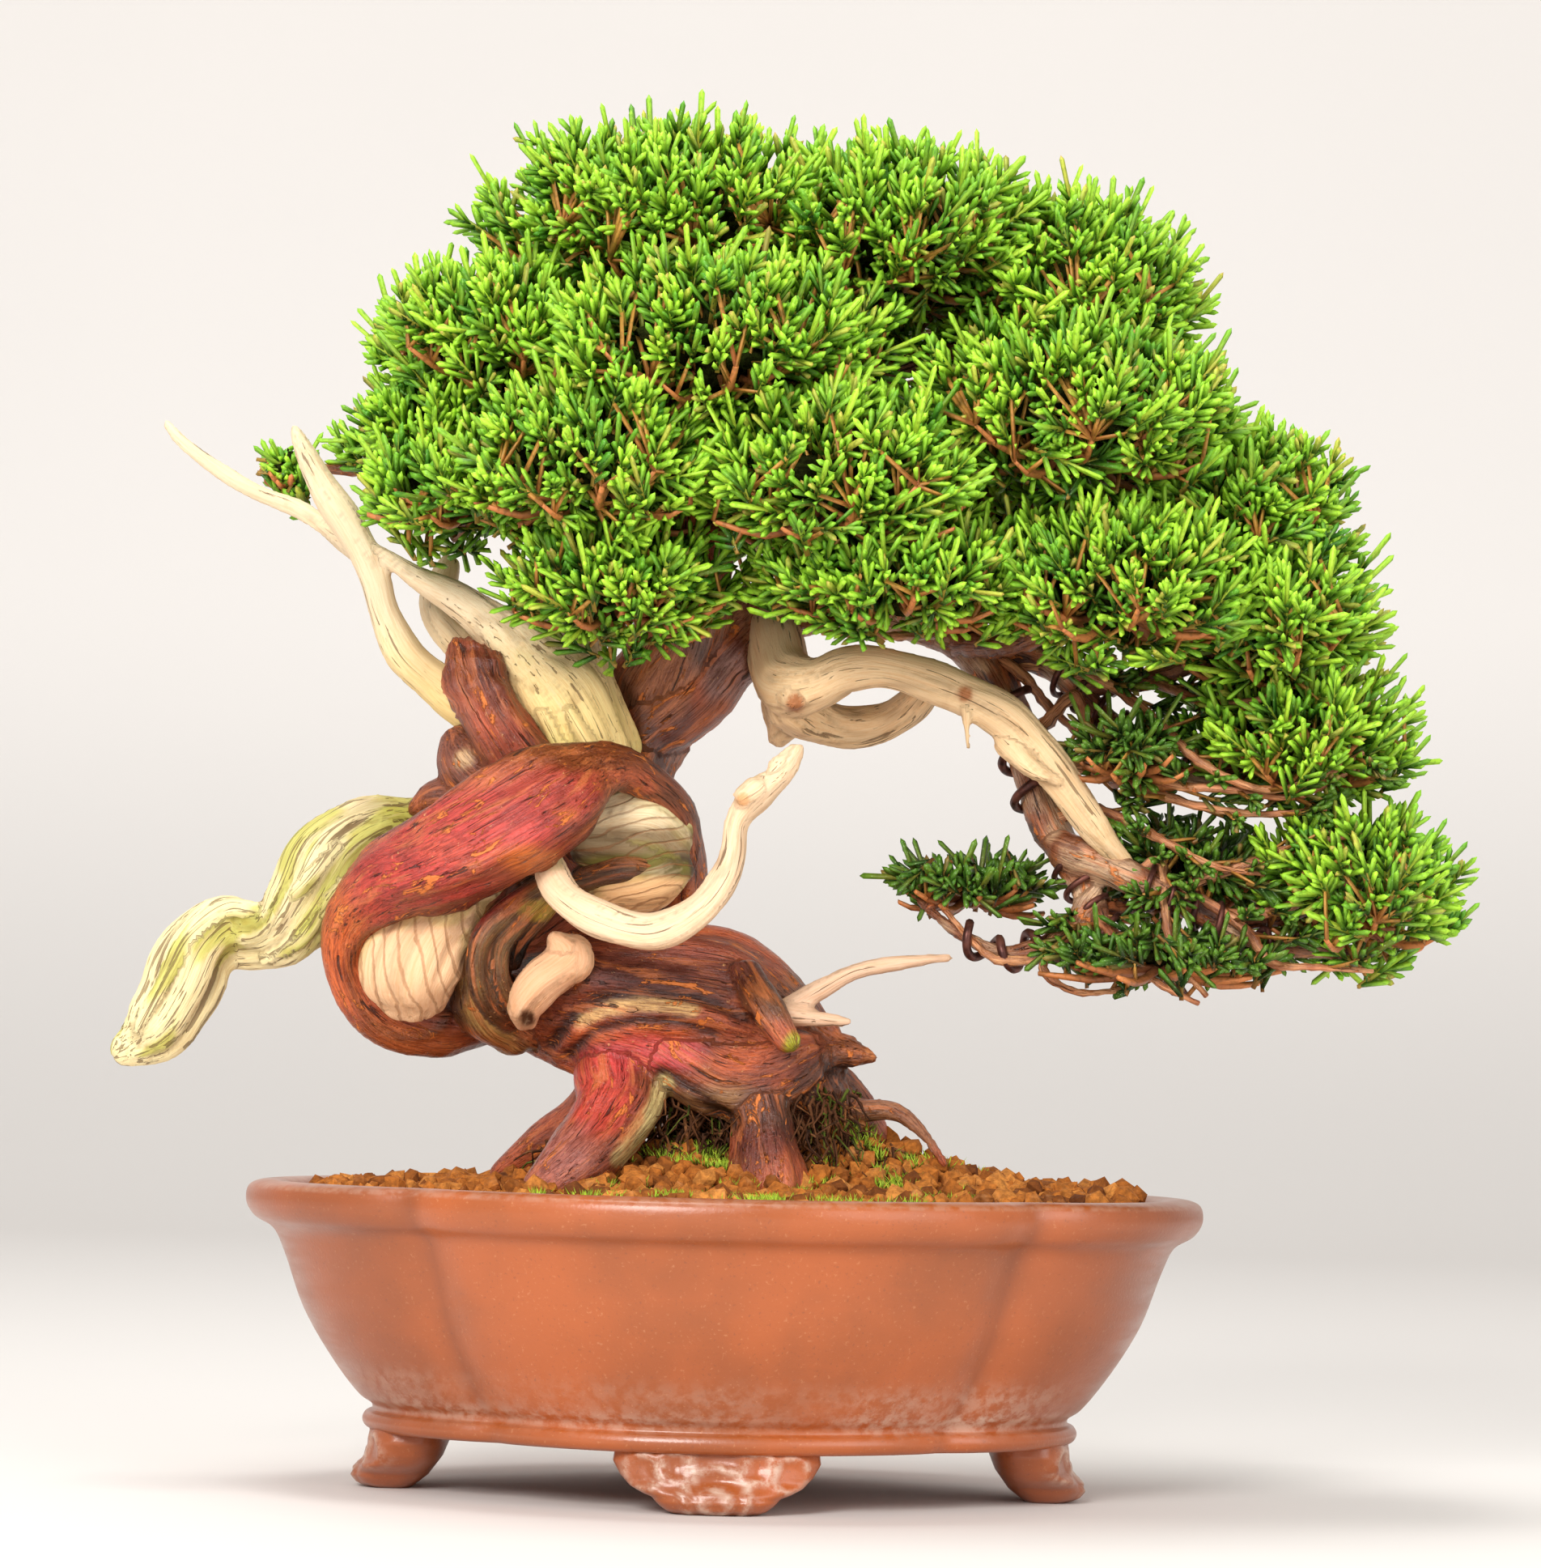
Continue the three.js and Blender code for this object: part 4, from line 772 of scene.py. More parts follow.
class Finish:
    """A procedural finish: one principled shader and the nodes that feed it."""

    def __init__(self, name, roughness=0.6, **sockets):
        self.material = bpy.data.materials.new(name)
        self.material.use_nodes = True
        self.nodes = self.material.node_tree.nodes
        self.links = self.material.node_tree.links
        self.shader = self.nodes["Principled BSDF"]
        self.shader.inputs["Roughness"].default_value = roughness
        for key, value in sockets.items():
            self.shader.inputs[key.replace("_", " ")].default_value = value

    def add(self, kind, inputs=None, output=0, **settings):
        """One output of a new node. An input is a value or a socket to link."""
        node = self.nodes.new(kind)
        for key, value in settings.items():
            setattr(node, key, value)
        for key, value in (inputs or {}).items():
            if isinstance(value, bpy.types.NodeSocket):
                self.links.new(value, node.inputs[key])
            else:
                node.inputs[key].default_value = value
        return node.outputs[output]

    def attribute(self, name):
        """A vector that the mesh carries for each vertex."""
        return self.add("ShaderNodeAttribute", output="Vector", attribute_name=name)

    def colour_attribute(self, name):
        """A colour that the mesh carries for each vertex."""
        return self.add("ShaderNodeAttribute", output="Color", attribute_name=name)

    def place(self):
        """Object coordinates in metres."""
        return self.add("ShaderNodeTexCoord", output="Object")

    def stretched(self, vector, scale):
        """The vector scaled along each axis, so that a pattern on it runs long or short there."""
        return self.add("ShaderNodeMapping", {"Vector": vector, "Scale": scale})

    def noise(self, vector, scale, detail=4.0, roughness=0.55, distortion=0.0):
        return self.add("ShaderNodeTexNoise", {"Vector": vector, "Scale": scale, "Detail": detail,
                                               "Roughness": roughness, "Distortion": distortion})

    def cells(self, vector, scale, feature="F1"):
        return self.add("ShaderNodeTexVoronoi", {"Vector": vector, "Scale": scale}, feature=feature)

    def span(self, value, low, high, start=0.0, end=1.0):
        """Start below low, end above high and a smooth step between."""
        inputs = {"Value": value, "From Min": low, "From Max": high, "To Min": start, "To Max": end}
        return self.add("ShaderNodeMapRange", inputs, interpolation_type="SMOOTHSTEP")

    def sum(self, *terms):
        total = terms[0]
        for term in terms[1:]:
            total = self.add("ShaderNodeMath", {0: total, 1: term}, operation="ADD")
        return total

    def times(self, first, second):
        return self.add("ShaderNodeMath", {0: first, 1: second}, operation="MULTIPLY")

    def mix(self, share, first, second, blend="MIX"):
        """The first colour with a share of the second laid over it."""
        four = [(*value, 1.0) if isinstance(value, tuple) and len(value) == 3 else value
                for value in (first, second)]
        node = self.nodes.new("ShaderNodeMix")
        node.data_type = "RGBA"
        node.blend_type = blend
        for socket, value in ((node.inputs[0], share), (node.inputs[6], four[0]), (node.inputs[7], four[1])):
            if isinstance(value, bpy.types.NodeSocket):
                self.links.new(value, socket)
            else:
                socket.default_value = value
        return node.outputs[2]

    def finish(self, colour=None, roughness=None, height=None, depth=0.0002, strength=1.0):
        """The material, its colour, roughness and bumps linked. Depth is the bumps' height in metres."""
        if colour is not None:
            self.links.new(colour, self.shader.inputs["Base Color"])
        if roughness is not None:
            self.links.new(roughness, self.shader.inputs["Roughness"])
        if height is not None:
            bump = self.add("ShaderNodeBump", {"Height": height, "Distance": depth, "Strength": strength})
            self.links.new(bump, self.shader.inputs["Normal"])
        return self.material


def clay_finish(settings):
    """Burnished unglazed clay: soft blotches, fine speckle, wiped streaks, painted shade in the creases and
    on the side lobes, and lime where water sat.
    """
    clay = Finish("clay", 0.36, Specular_IOR_Level=0.6, Coat_Weight=0.3, Coat_Roughness=0.28)
    place = clay.place()
    blotch = clay.noise(place, 38, 3)
    streak = clay.noise(clay.stretched(place, (60, 60, 420)), 1.0, 3, 0.6)
    speckle = clay.noise(place, 1600, 2)
    lime = clay.colour_attribute("lime")
    lime = clay.times(lime, clay.span(clay.noise(place, 420, 5, 0.65), 0.36, 0.62))
    deep = tuple(part * 0.8 for part in settings.clay_colour)
    warm = tuple(min(part * gain, 1) for part, gain in zip(settings.clay_colour, (1.14, 1.08, 1.0)))
    colour = clay.mix(clay.span(blotch, 0.3, 0.7), deep, warm)
    colour = clay.mix(clay.span(streak, 0.5, 0.75, 0.0, 0.22), colour, warm)
    colour = clay.mix(clay.span(speckle, 0.62, 0.74, 0.0, 0.18), colour, screen(230, 174, 128))
    colour = clay.mix(clay.span(speckle, 0.36, 0.28, 0.0, 0.35), colour, screen(112, 62, 40))
    # Painted shade from the shade attribute: the creases and side lobes are darkened.
    colour = clay.mix(clay.colour_attribute("shade"), colour, screen(96, 48, 28))
    colour = clay.mix(lime, colour, tuple(settings.deposit_colour))
    rough = clay.sum(clay.span(streak, 0.3, 0.7, 0.28, 0.42), clay.times(lime, 0.3))
    height = clay.sum(clay.times(streak, 0.5), clay.times(speckle, 0.5))
    return clay.finish(colour, rough, height, 0.00025, 0.35)


def grain_finish(name):
    """Fired clay crumbs: each crumb's own colour, dusty and pitted."""
    soil = Finish(name, 0.9, Specular_IOR_Level=0.25)
    place = soil.place()
    pit = soil.noise(place, 900, 4, 0.65)
    dust = soil.noise(place, 320, 3)
    tint = soil.colour_attribute("tint")
    colour = soil.mix(soil.span(pit, 0.3, 0.7), soil.mix(0.55, tint, screen(60, 28, 12)), tint)
    colour = soil.mix(soil.span(dust, 0.55, 0.75, 0.0, 0.35), colour, screen(214, 150, 96))
    return soil.finish(colour, None, pit, 0.0004, 0.9)


def moss_finish():
    """Moss leaflets in their own tint with paler flecks."""
    moss = Finish("moss", 0.7, Specular_IOR_Level=0.3)
    fleck = moss.span(moss.noise(moss.place(), 1400, 2), 0.35, 0.7, 0.0, 0.4)
    colour = moss.mix(fleck, moss.colour_attribute("tint"), screen(196, 214, 90))
    return moss.finish(colour)


def bark_finish():
    """Bark in long thin layers: its own tint, with dark and light streaks along the grain, orange flakes,
    small chips and dark lines between the layers."""
    bark = Finish("bark", 0.4, Specular_IOR_Level=0.55)
    grain = bark.attribute("grain")
    place = bark.place()
    fine = bark.noise(bark.stretched(grain, (2.6, 2.6, 0.2)), 1.0, 5, 0.65, 0.5)
    broad = bark.noise(bark.stretched(grain, (0.5, 0.5, 0.07)), 1.0, 4, 0.6, 0.6)
    flake = bark.noise(bark.stretched(grain, (0.42, 0.42, 0.16)), 1.0, 6, 0.72, 1.0)
    crack = bark.noise(bark.stretched(grain, (1.3, 1.3, 0.08)), 1.0, 4, 0.55, 1.2)
    patch = bark.noise(place, 190, 5, 0.65)
    chip = bark.noise(place, 900, 4, 0.7)
    tint = bark.colour_attribute("tint")
    colour = bark.mix(bark.span(fine, 0.36, 0.64), bark.mix(0.7, tint, screen(124, 80, 68), "MULTIPLY"), tint)
    dim = bark.mix(0.8, tint, screen(150, 96, 84), "MULTIPLY")
    colour = bark.mix(bark.span(patch, 0.56, 0.68, 0.0, 0.6), colour, dim)
    colour = bark.mix(bark.span(broad, 0.5, 0.68, 0.0, 0.5), colour, screen(226, 128, 72))
    flakes = bark.span(flake, 0.58, 0.62)
    colour = bark.mix(bark.times(flakes, 0.8), colour, screen(236, 130, 50))
    colour = bark.mix(bark.span(chip, 0.66, 0.7, 0.0, 0.7), colour, screen(224, 168, 112))
    lines = bark.span(crack, 0.38, 0.33)
    colour = bark.mix(bark.times(lines, 0.85), colour, screen(52, 24, 18))
    rough = bark.sum(bark.span(fine, 0.3, 0.7, 0.24, 0.4), bark.times(flakes, 0.2))
    height = bark.sum(bark.times(fine, 0.5), bark.times(flakes, 0.5), bark.times(chip, 0.5),
                      bark.times(lines, -1.0))
    return bark.finish(colour, rough, height, 0.0006, 0.9)


def deadwood_finish():
    """Bleached bare wood: its own tint, pale fibres, thin dark drying cracks along the grain, and year
    lines. The attribute rings holds a ring count, the strength of the lines and how cracked the wood is."""
    wood = Finish("deadwood", 0.6, Specular_IOR_Level=0.35)
    grain = wood.attribute("grain")
    fibre = wood.noise(wood.stretched(grain, (3.0, 3.0, 0.15)), 1.0, 5, 0.6, 0.3)
    band = wood.noise(wood.stretched(grain, (0.6, 0.6, 0.05)), 1.0, 3, 0.55, 0.5)
    crack = wood.noise(wood.stretched(grain, (1.3, 1.3, 0.05)), 1.0, 3, 0.5, 0.8)
    stain = wood.noise(wood.place(), 260, 4, 0.6)
    tint = wood.colour_attribute("tint")
    warm = wood.mix(0.5, tint, screen(240, 218, 190), "MULTIPLY")
    colour = wood.mix(wood.span(fibre, 0.32, 0.6), warm, tint)
    colour = wood.mix(wood.span(band, 0.55, 0.75, 0.0, 0.4), colour, screen(250, 222, 180))
    colour = wood.mix(wood.span(stain, 0.6, 0.78, 0.0, 0.25), colour, screen(204, 156, 104))
    parts = wood.add("ShaderNodeSeparateXYZ", {"Vector": wood.attribute("rings")}).node
    lines = wood.span(wood.sum(crack, wood.times(parts.outputs[2], -0.07)), 0.36, 0.32)
    colour = wood.mix(wood.times(lines, 0.7), colour, screen(104, 72, 40))
    count = wood.sum(parts.outputs[0], wood.times(stain, 0.5))
    near = wood.add("ShaderNodeMath", {0: count, 1: 0.5}, operation="PINGPONG")
    ring = wood.times(wood.span(near, 0.13, 0.03), parts.outputs[1])
    colour = wood.mix(ring, colour, screen(150, 94, 52))
    height = wood.sum(wood.times(fibre, 0.6), wood.times(lines, -1.0), wood.times(ring, -0.8))
    return wood.finish(colour, wood.span(fibre, 0.3, 0.7, 0.5, 0.68), height, 0.0004, 0.8)


def wire_finish():
    """Dark annealed wire with a dull brown skin."""
    wire = Finish("wire", 0.42, Metallic=0.65, Specular_IOR_Level=0.5)
    place = wire.place()
    patch = wire.noise(place, 500, 4)
    colour = wire.mix(wire.span(patch, 0.35, 0.65), screen(70, 40, 36), screen(122, 74, 62))
    rough = wire.span(patch, 0.3, 0.7, 0.34, 0.56)
    return wire.finish(colour, rough, wire.noise(place, 2500, 3), 0.00008, 0.4)


def foliage_finish():
    """Scale leaves pressed to the shoot: each shoot's own tint, dark seams between the scales and, on the
    shaded shoots, rows of white dots."""
    leaf = Finish("foliage", 0.5, Specular_IOR_Level=0.4)
    scale = leaf.attribute("scales")
    cell = leaf.cells(scale, 1.0)
    tint = leaf.colour_attribute("tint")
    dark = leaf.span(leaf.add("ShaderNodeRGBToBW", {"Color": tint}), 0.42, 0.12, 0.15, 0.75)
    seam = leaf.mix(0.7, tint, screen(60, 96, 40), "MULTIPLY")
    colour = leaf.mix(leaf.span(cell, 0.5, 0.85, 0.0, 0.55), tint, seam)
    parts = leaf.add("ShaderNodeSeparateColor", {"Color": tint}).node
    green = leaf.span(leaf.sum(parts.outputs[1], leaf.times(parts.outputs[0], -1.0)), 0.015, 0.04)
    dots = leaf.times(leaf.times(leaf.span(cell, 0.24, 0.12), dark), green)
    colour = leaf.mix(dots, colour, leaf.mix(0.3, screen(206, 224, 176), tint))
    return leaf.finish(colour, None, cell, 0.0002, -0.6)


def pad_shade_finish():
    """Painted shade for the inside of a pad: its tint, mottled darker still by a fine noise, in place of the
    shadowed twigs and scales within.
    """
    inner = Finish("inner", 0.95, Specular_IOR_Level=0.0)
    fleck = inner.noise(inner.place(), 800, 4, 0.7)
    tint = inner.colour_attribute("tint")
    colour = inner.mix(inner.span(fleck, 0.42, 0.6), inner.mix(0.7, tint, screen(16, 12, 8)), tint)
    return inner.finish(colour, None, fleck, 0.0008, 1.0)


class BONSAI_OT_stage(bpy.types.Operator):
    """Lay a pale floor that sweeps up behind the tree, hang the lamps and set the camera"""

    bl_idname = "bonsai.stage"
    bl_label = "Stage"

    def execute(self, context):
        settings = context.scene.bonsai_stage
        self.floor(tuple(settings.floor_colour))
        self.lamps(context, settings.key_power)
        self.camera(context, settings.camera_distance)
        return {"FINISHED"}

    def floor(self, upper):
        """A flat strip, a quarter circle up and an upright strip, carried straight across. It is the upper
        colour on the wall and darker near the ground, as painted shade."""
        bend = np.linspace(0, math.pi / 2, 16)
        y = np.concatenate([[-2.5], 1.1 + 0.6 * np.sin(bend), [1.7]])
        z = np.concatenate([[0.0], 0.6 - 0.6 * np.cos(bend), [3.2]])
        section = np.stack([y, z], axis=1)
        places = np.concatenate([np.column_stack([np.full(len(section), x), section]) for x in (-3.0, 3.0)])
        mesh = bpy.data.meshes.new("floor")
        count = len(section)
        faces = [(i, i + count, i + count + 1, i + 1) for i in range(count - 1)]
        mesh.from_pydata(places.tolist(), [], faces)
        mesh.polygons.foreach_set("use_smooth", [True] * len(faces))
        plaster = Finish("floor", 0.75, Specular_IOR_Level=0.2)
        faint = plaster.noise(plaster.place(), 3.0, 2)
        height = plaster.add("ShaderNodeSeparateXYZ", {"Vector": plaster.place()}).node.outputs[2]
        colour = plaster.mix(plaster.span(faint, 0.3, 0.7), tuple(part * 0.985 for part in upper), upper)
        # Painted shade: the floor is darker near the ground.
        low = plaster.mix(0.85, colour, tuple(part * 0.72 for part in upper))
        colour = plaster.mix(plaster.span(height, 0.02, 0.3), low, colour)
        mesh.materials.append(plaster.finish(colour))
        floor = bpy.data.objects.new("floor", mesh)
        bpy.context.scene.collection.objects.link(floor)

    def lamps(self, context, key_power):
        """A pale sky and square lamps that face their aims."""
        world = bpy.data.worlds.new("studio")
        world.use_nodes = True
        sky = world.node_tree.nodes["Background"]
        sky.inputs["Color"].default_value = SKY_COLOUR
        sky.inputs["Strength"].default_value = SKY_STRENGTH
        context.scene.world = world
        context.scene.view_settings.view_transform = "Standard"
        for name, (place, aim, size, share) in LAMPS.items():
            lamp = bpy.data.lights.new(name, "AREA")
            lamp.shape = "SQUARE"
            lamp.size = size
            lamp.energy = key_power * share
            lamp.color = LAMP_COLOUR
            hung = bpy.data.objects.new(name, lamp)
            hung.location = place
            hung.rotation_euler = (Vector(aim) - Vector(place)).to_track_quat("-Z", "Y").to_euler()
            context.scene.collection.objects.link(hung)

    def camera(self, context, distance):
        """Low in front of the pot, looking slightly up, and leaning a little to one side."""
        camera = bpy.data.cameras.new("camera")
        camera.sensor_fit = "VERTICAL"
        camera.sensor_height = 36
        camera.lens = CAMERA_LENS * distance / 0.9
        camera.dof.use_dof = False
        camera.clip_start = 0.05
        camera.clip_end = 20
        holder = bpy.data.objects.new("camera", camera)
        middle = Vector(POT_MIDDLE)
        holder.location = middle + Vector((CAMERA_ASIDE, -distance, CAMERA_HEIGHT))
        aim = middle + Vector((CAMERA_ASIDE, 0, CAMERA_AIM)) - holder.location
        holder.rotation_mode = "QUATERNION"
        holder.rotation_quaternion = aim.to_track_quat("-Z", "Y") @ Quaternion((0, 0, 1), CAMERA_LEAN)
        context.scene.collection.objects.link(holder)
        context.scene.camera = holder


def lobe_gap(angle):
    """How much further than the side circle the wide oval reaches at an angle, in millimetres."""
    cosine, sine = np.abs(np.cos(angle)), np.sin(angle)
    along = SIDE_LOBE[0] * cosine
    side = along + np.sqrt(SIDE_LOBE[1] ** 2 - SIDE_LOBE[0] ** 2 + along ** 2)
    return 1 / np.hypot(cosine / WIDE_LOBE[0], sine / WIDE_LOBE[1]) - side


def plan_factor(angle):
    """Quatrefoil plan: how far the outline reaches at an angle, as a share of the rim's half width. A high
    power mean of a wide oval and two side circles, with a shallow groove pressed in where they meet."""
    cosine, sine = np.cos(angle), np.sin(angle)
    reaches = [1 / np.hypot(cosine / WIDE_LOBE[0], sine / WIDE_LOBE[1])]
    for side in (1, -1):
        along = side * SIDE_LOBE[0] * cosine
        reaches.append(along + np.sqrt(SIDE_LOBE[1] ** 2 - SIDE_LOBE[0] ** 2 + along ** 2))
    shares = [(reach / RIM_HALF_WIDTH) ** CREASE_SHARPNESS for reach in reaches]
    groove = 0.014 * np.exp(-(lobe_gap(angle) / 2.2) ** 2)
    return sum(shares) ** (1 / CREASE_SHARPNESS) * (1 - groove)


def turned_section(section, columns):
    """A section of (half width, height) turned about Z and drawn in to the quatrefoil plan."""
    angle = np.linspace(0, 2 * math.pi, columns, endpoint=False)
    width = section[:, :1] * plan_factor(angle)
    height = np.broadcast_to(section[:, 1:2], width.shape)
    return np.stack([width * np.cos(angle), width * np.sin(angle), height], axis=-1)


def pot_body():
    """The pot's section smoothed and turned. The two ends of the section close on the axis."""
    dense = smooth_path([(x, z, 0, 1) for x, z in POT_SECTION[1:-1]], 5)[:, :2]
    return closed_rings(turned_section(dense, POT_COLUMNS), [[0, 0, dense[0, 1]], [0, 0, dense[-1, 1]]])


def cloud_foot(turn):
    """A cloud foot as a stack of rounded outlines from the ground up. At each height the outline is a
    superellipse between a half width and a front and back reach, with scroll ridges raised on its front.
    Returns vertices, faces and how much lime each vertex holds."""
    height = np.concatenate([np.linspace(0, 3.2, 12), np.linspace(3.5, 11.5, 22)])
    half = np.interp(height, [0, 0.5, 1.6, 2.7, 3.1, 4.2, 5.8, 8, 11.5],
                     [6.8, 8.0, 9.4, 10.4, 11.6, 13.8, 15.4, 16.7, 16.2])
    front = np.interp(height, [0, 0.8, 2.0, 3.4, 5.2, 7.5, 11.5], [58.2, 60.2, 61.1, 60.5, 58.6, 58.0, 57.8])
    back = np.interp(height, [0, 2, 5, 8, 11.5], [51, 48.4, 46.2, 45.0, 44.2])
    angle = np.linspace(0, 2 * math.pi, 72, endpoint=False)[None, :]
    cosine, sine = np.cos(angle), np.sin(angle)
    wide = np.sign(sine) * np.abs(sine) ** 0.75 * half[:, None]
    middle, reach = ((front + back) / 2)[:, None], ((front - back) / 2)[:, None]
    deep = middle + np.sign(cosine) * np.abs(cosine) ** 0.6 * reach
    z = np.broadcast_to(height[:, None], wide.shape)
    facing = np.clip(cosine, 0, 1) ** 0.5 * np.ones_like(wide)
    ridges = np.zeros_like(wide)
    for aside, level, size in FOOT_SCROLLS:
        ridges += np.exp(-((np.hypot(wide - aside, (z - level) * 1.1) - size) / 0.75) ** 2)
    deep = deep + facing * np.minimum(ridges, 1.2) * 0.75 - facing * 0.35
    deep = deep + FOOT_TOE * (plan_factor(turn) - 1)
    cosine, sine = math.cos(turn), math.sin(turn)
    rings = np.stack([deep * cosine - wide * sine, deep * sine + wide * cosine, z], axis=-1)
    middle = (deep[0, 0] + deep[0, deep.shape[1] // 2]) / 2
    ends = [[middle * cosine, middle * sine, height[i]] for i in (0, -1)]
    lime = np.concatenate([(facing * np.minimum(ridges, 1) ** 1.5).ravel(), [0, 0]])
    return *closed_rings(rings, ends, turned=True), lime


class BONSAI_OT_pot(bpy.types.Operator):
    """Turn the quatrefoil pot, set its four cloud feet and drill its drain holes"""

    bl_idname = "bonsai.pot"
    bl_label = "Pot"

    def execute(self, context):
        body, faces = self.drilled(*pot_body())
        parts, lime = [(body, faces)], [self.water_lime(body)]
        for turn in np.arange(4) * math.pi / 2:
            *foot, share = cloud_foot(turn)
            parts.append(foot)
            lime.append(share * 0.7)
        places, faces = merge_parts(parts)
        gap = lobe_gap(np.arctan2(places[:, 1], places[:, 0]))
        wall = smooth_step(12, 16, places[:, 2]) * smooth_step(53, 49, places[:, 2])
        # Painted shade, carried in the shade attribute: dark in the creases between the lobes and over the
        # side lobes.
        shade = 0.34 * wall * np.exp(-(gap / 0.9) ** 2) + 0.26 * smooth_step(1, -5, gap)
        grey = {"lime": np.concatenate(lime), "shade": shade}
        new_piece("clay_pot", places, faces, clay_finish(context.scene.bonsai_pot), ("pot",),
                  colours={key: np.repeat(share[:, None], 3, axis=1) for key, share in grey.items()})
        return {"FINISHED"}

    def drilled(self, places, faces):
        """The body in triangles, with its round drain holes cut through the floor."""
        body = rough_object([(places, faces)])
        drills = []
        for x in DRAIN_HOLES:
            line = follow([(x, 0, 4, DRAIN_RADIUS), (x, 0, 22, DRAIN_RADIUS)], 1)
            drill = rough_object([tube(line, 32, blunt=0.1)])
            cut = body.modifiers.new("hole", "BOOLEAN")
            cut.operation = "DIFFERENCE"
            cut.object = drill
            drills.append(drill)
        mesh = read_out(body, drills)
        mesh.calc_loop_triangles()
        places = read_array(mesh.vertices, "co", 3, np.float32).astype(float)
        triangles = read_array(mesh.loop_triangles, "vertices", 3)
        bpy.data.meshes.remove(mesh)
        return places, [triangles]

    def water_lime(self, places):
        """Most in the groove above the foot ring, less on the ring and just under the lip."""
        z = places[:, 2]
        outside = np.hypot(places[:, 0], places[:, 1]) > 30
        groove = np.exp(-((z - 14.6) / 1.6) ** 2) + 0.45 * np.exp(-((z - 18.5) / 2.2) ** 2)
        patch = 0.5 + 0.5 * smooth_noise(places, (14, 14, 6), 5)
        return np.clip(groove * patch * outside + 0.25 * outside * (z > 49.5), 0, 1) * 0.6


def soil_height(x, y):
    """Level at the edge and mounded under the trunk."""
    height = np.full(np.shape(x), SOIL_EDGE_HEIGHT)
    for middle_x, middle_y, spread, rise in SOIL_MOUNDS:
        height = height + rise * np.exp(-((x - middle_x) ** 2 + (y - middle_y) ** 2) / spread ** 2)
    return height


def in_pot(spots, share):
    """Those of the spots (x, y) that lie within a share of the soil's reach."""
    x, y = spots.T
    reach = np.hypot(x, y) / (plan_factor(np.arctan2(y, x)) * SOIL_REACH)
    return spots[reach < share]


def random_turns(draw, count):
    """Rotation matrices from random unit quaternions."""
    q = draw.normal(size=(count, 4))
    q /= np.linalg.norm(q, axis=1)[:, None]
    w, x, y, z = q.T
    return np.stack([
        np.stack([1 - 2 * (y * y + z * z), 2 * (x * y - z * w), 2 * (x * z + y * w)], axis=-1),
        np.stack([2 * (x * y + z * w), 1 - 2 * (x * x + z * z), 2 * (y * z - x * w)], axis=-1),
        np.stack([2 * (x * z - y * w), 2 * (y * z + x * w), 1 - 2 * (x * x + y * y)], axis=-1)], axis=1)


def crumb_shape():
    """A cube with a low peak raised on each face: 14 vertices and 24 triangles."""
    corners = np.array([(x, y, z) for x in (-1, 1) for y in (-1, 1) for z in (-1, 1)], float) * 0.62
    peaks = np.concatenate([np.eye(3), -np.eye(3)]) * 0.92
    triangles = []
    for i, peak in enumerate(peaks):
        ring = np.flatnonzero(corners @ peak > 0)
        offset = corners[ring] - peak
        u = np.roll(np.abs(np.sign(peak)), 1)
        v = np.cross(peak, u)
        ring = ring[np.argsort(np.arctan2(offset @ v, offset @ u))]
        triangles.extend((8 + i, a, b) for a, b in zip(ring, np.roll(ring, -1)))
    return np.concatenate([corners, peaks]), np.array(triangles)


def scatter_copies(shape, faces, middles, sizes, draw, uneven):
    """Copies of one shape, each turned, scaled and with its vertices moved a little at random."""
    count = len(middles)
    local = shape[None] * sizes[:, None, :] * (1 + draw.uniform(-uneven, uneven, (count, len(shape), 1)))
    turned = np.einsum("nij,nvj->nvi", random_turns(draw, count), local)
    return (turned + middles[:, None]).reshape(-1, 3), copied_faces(count, len(shape), faces)


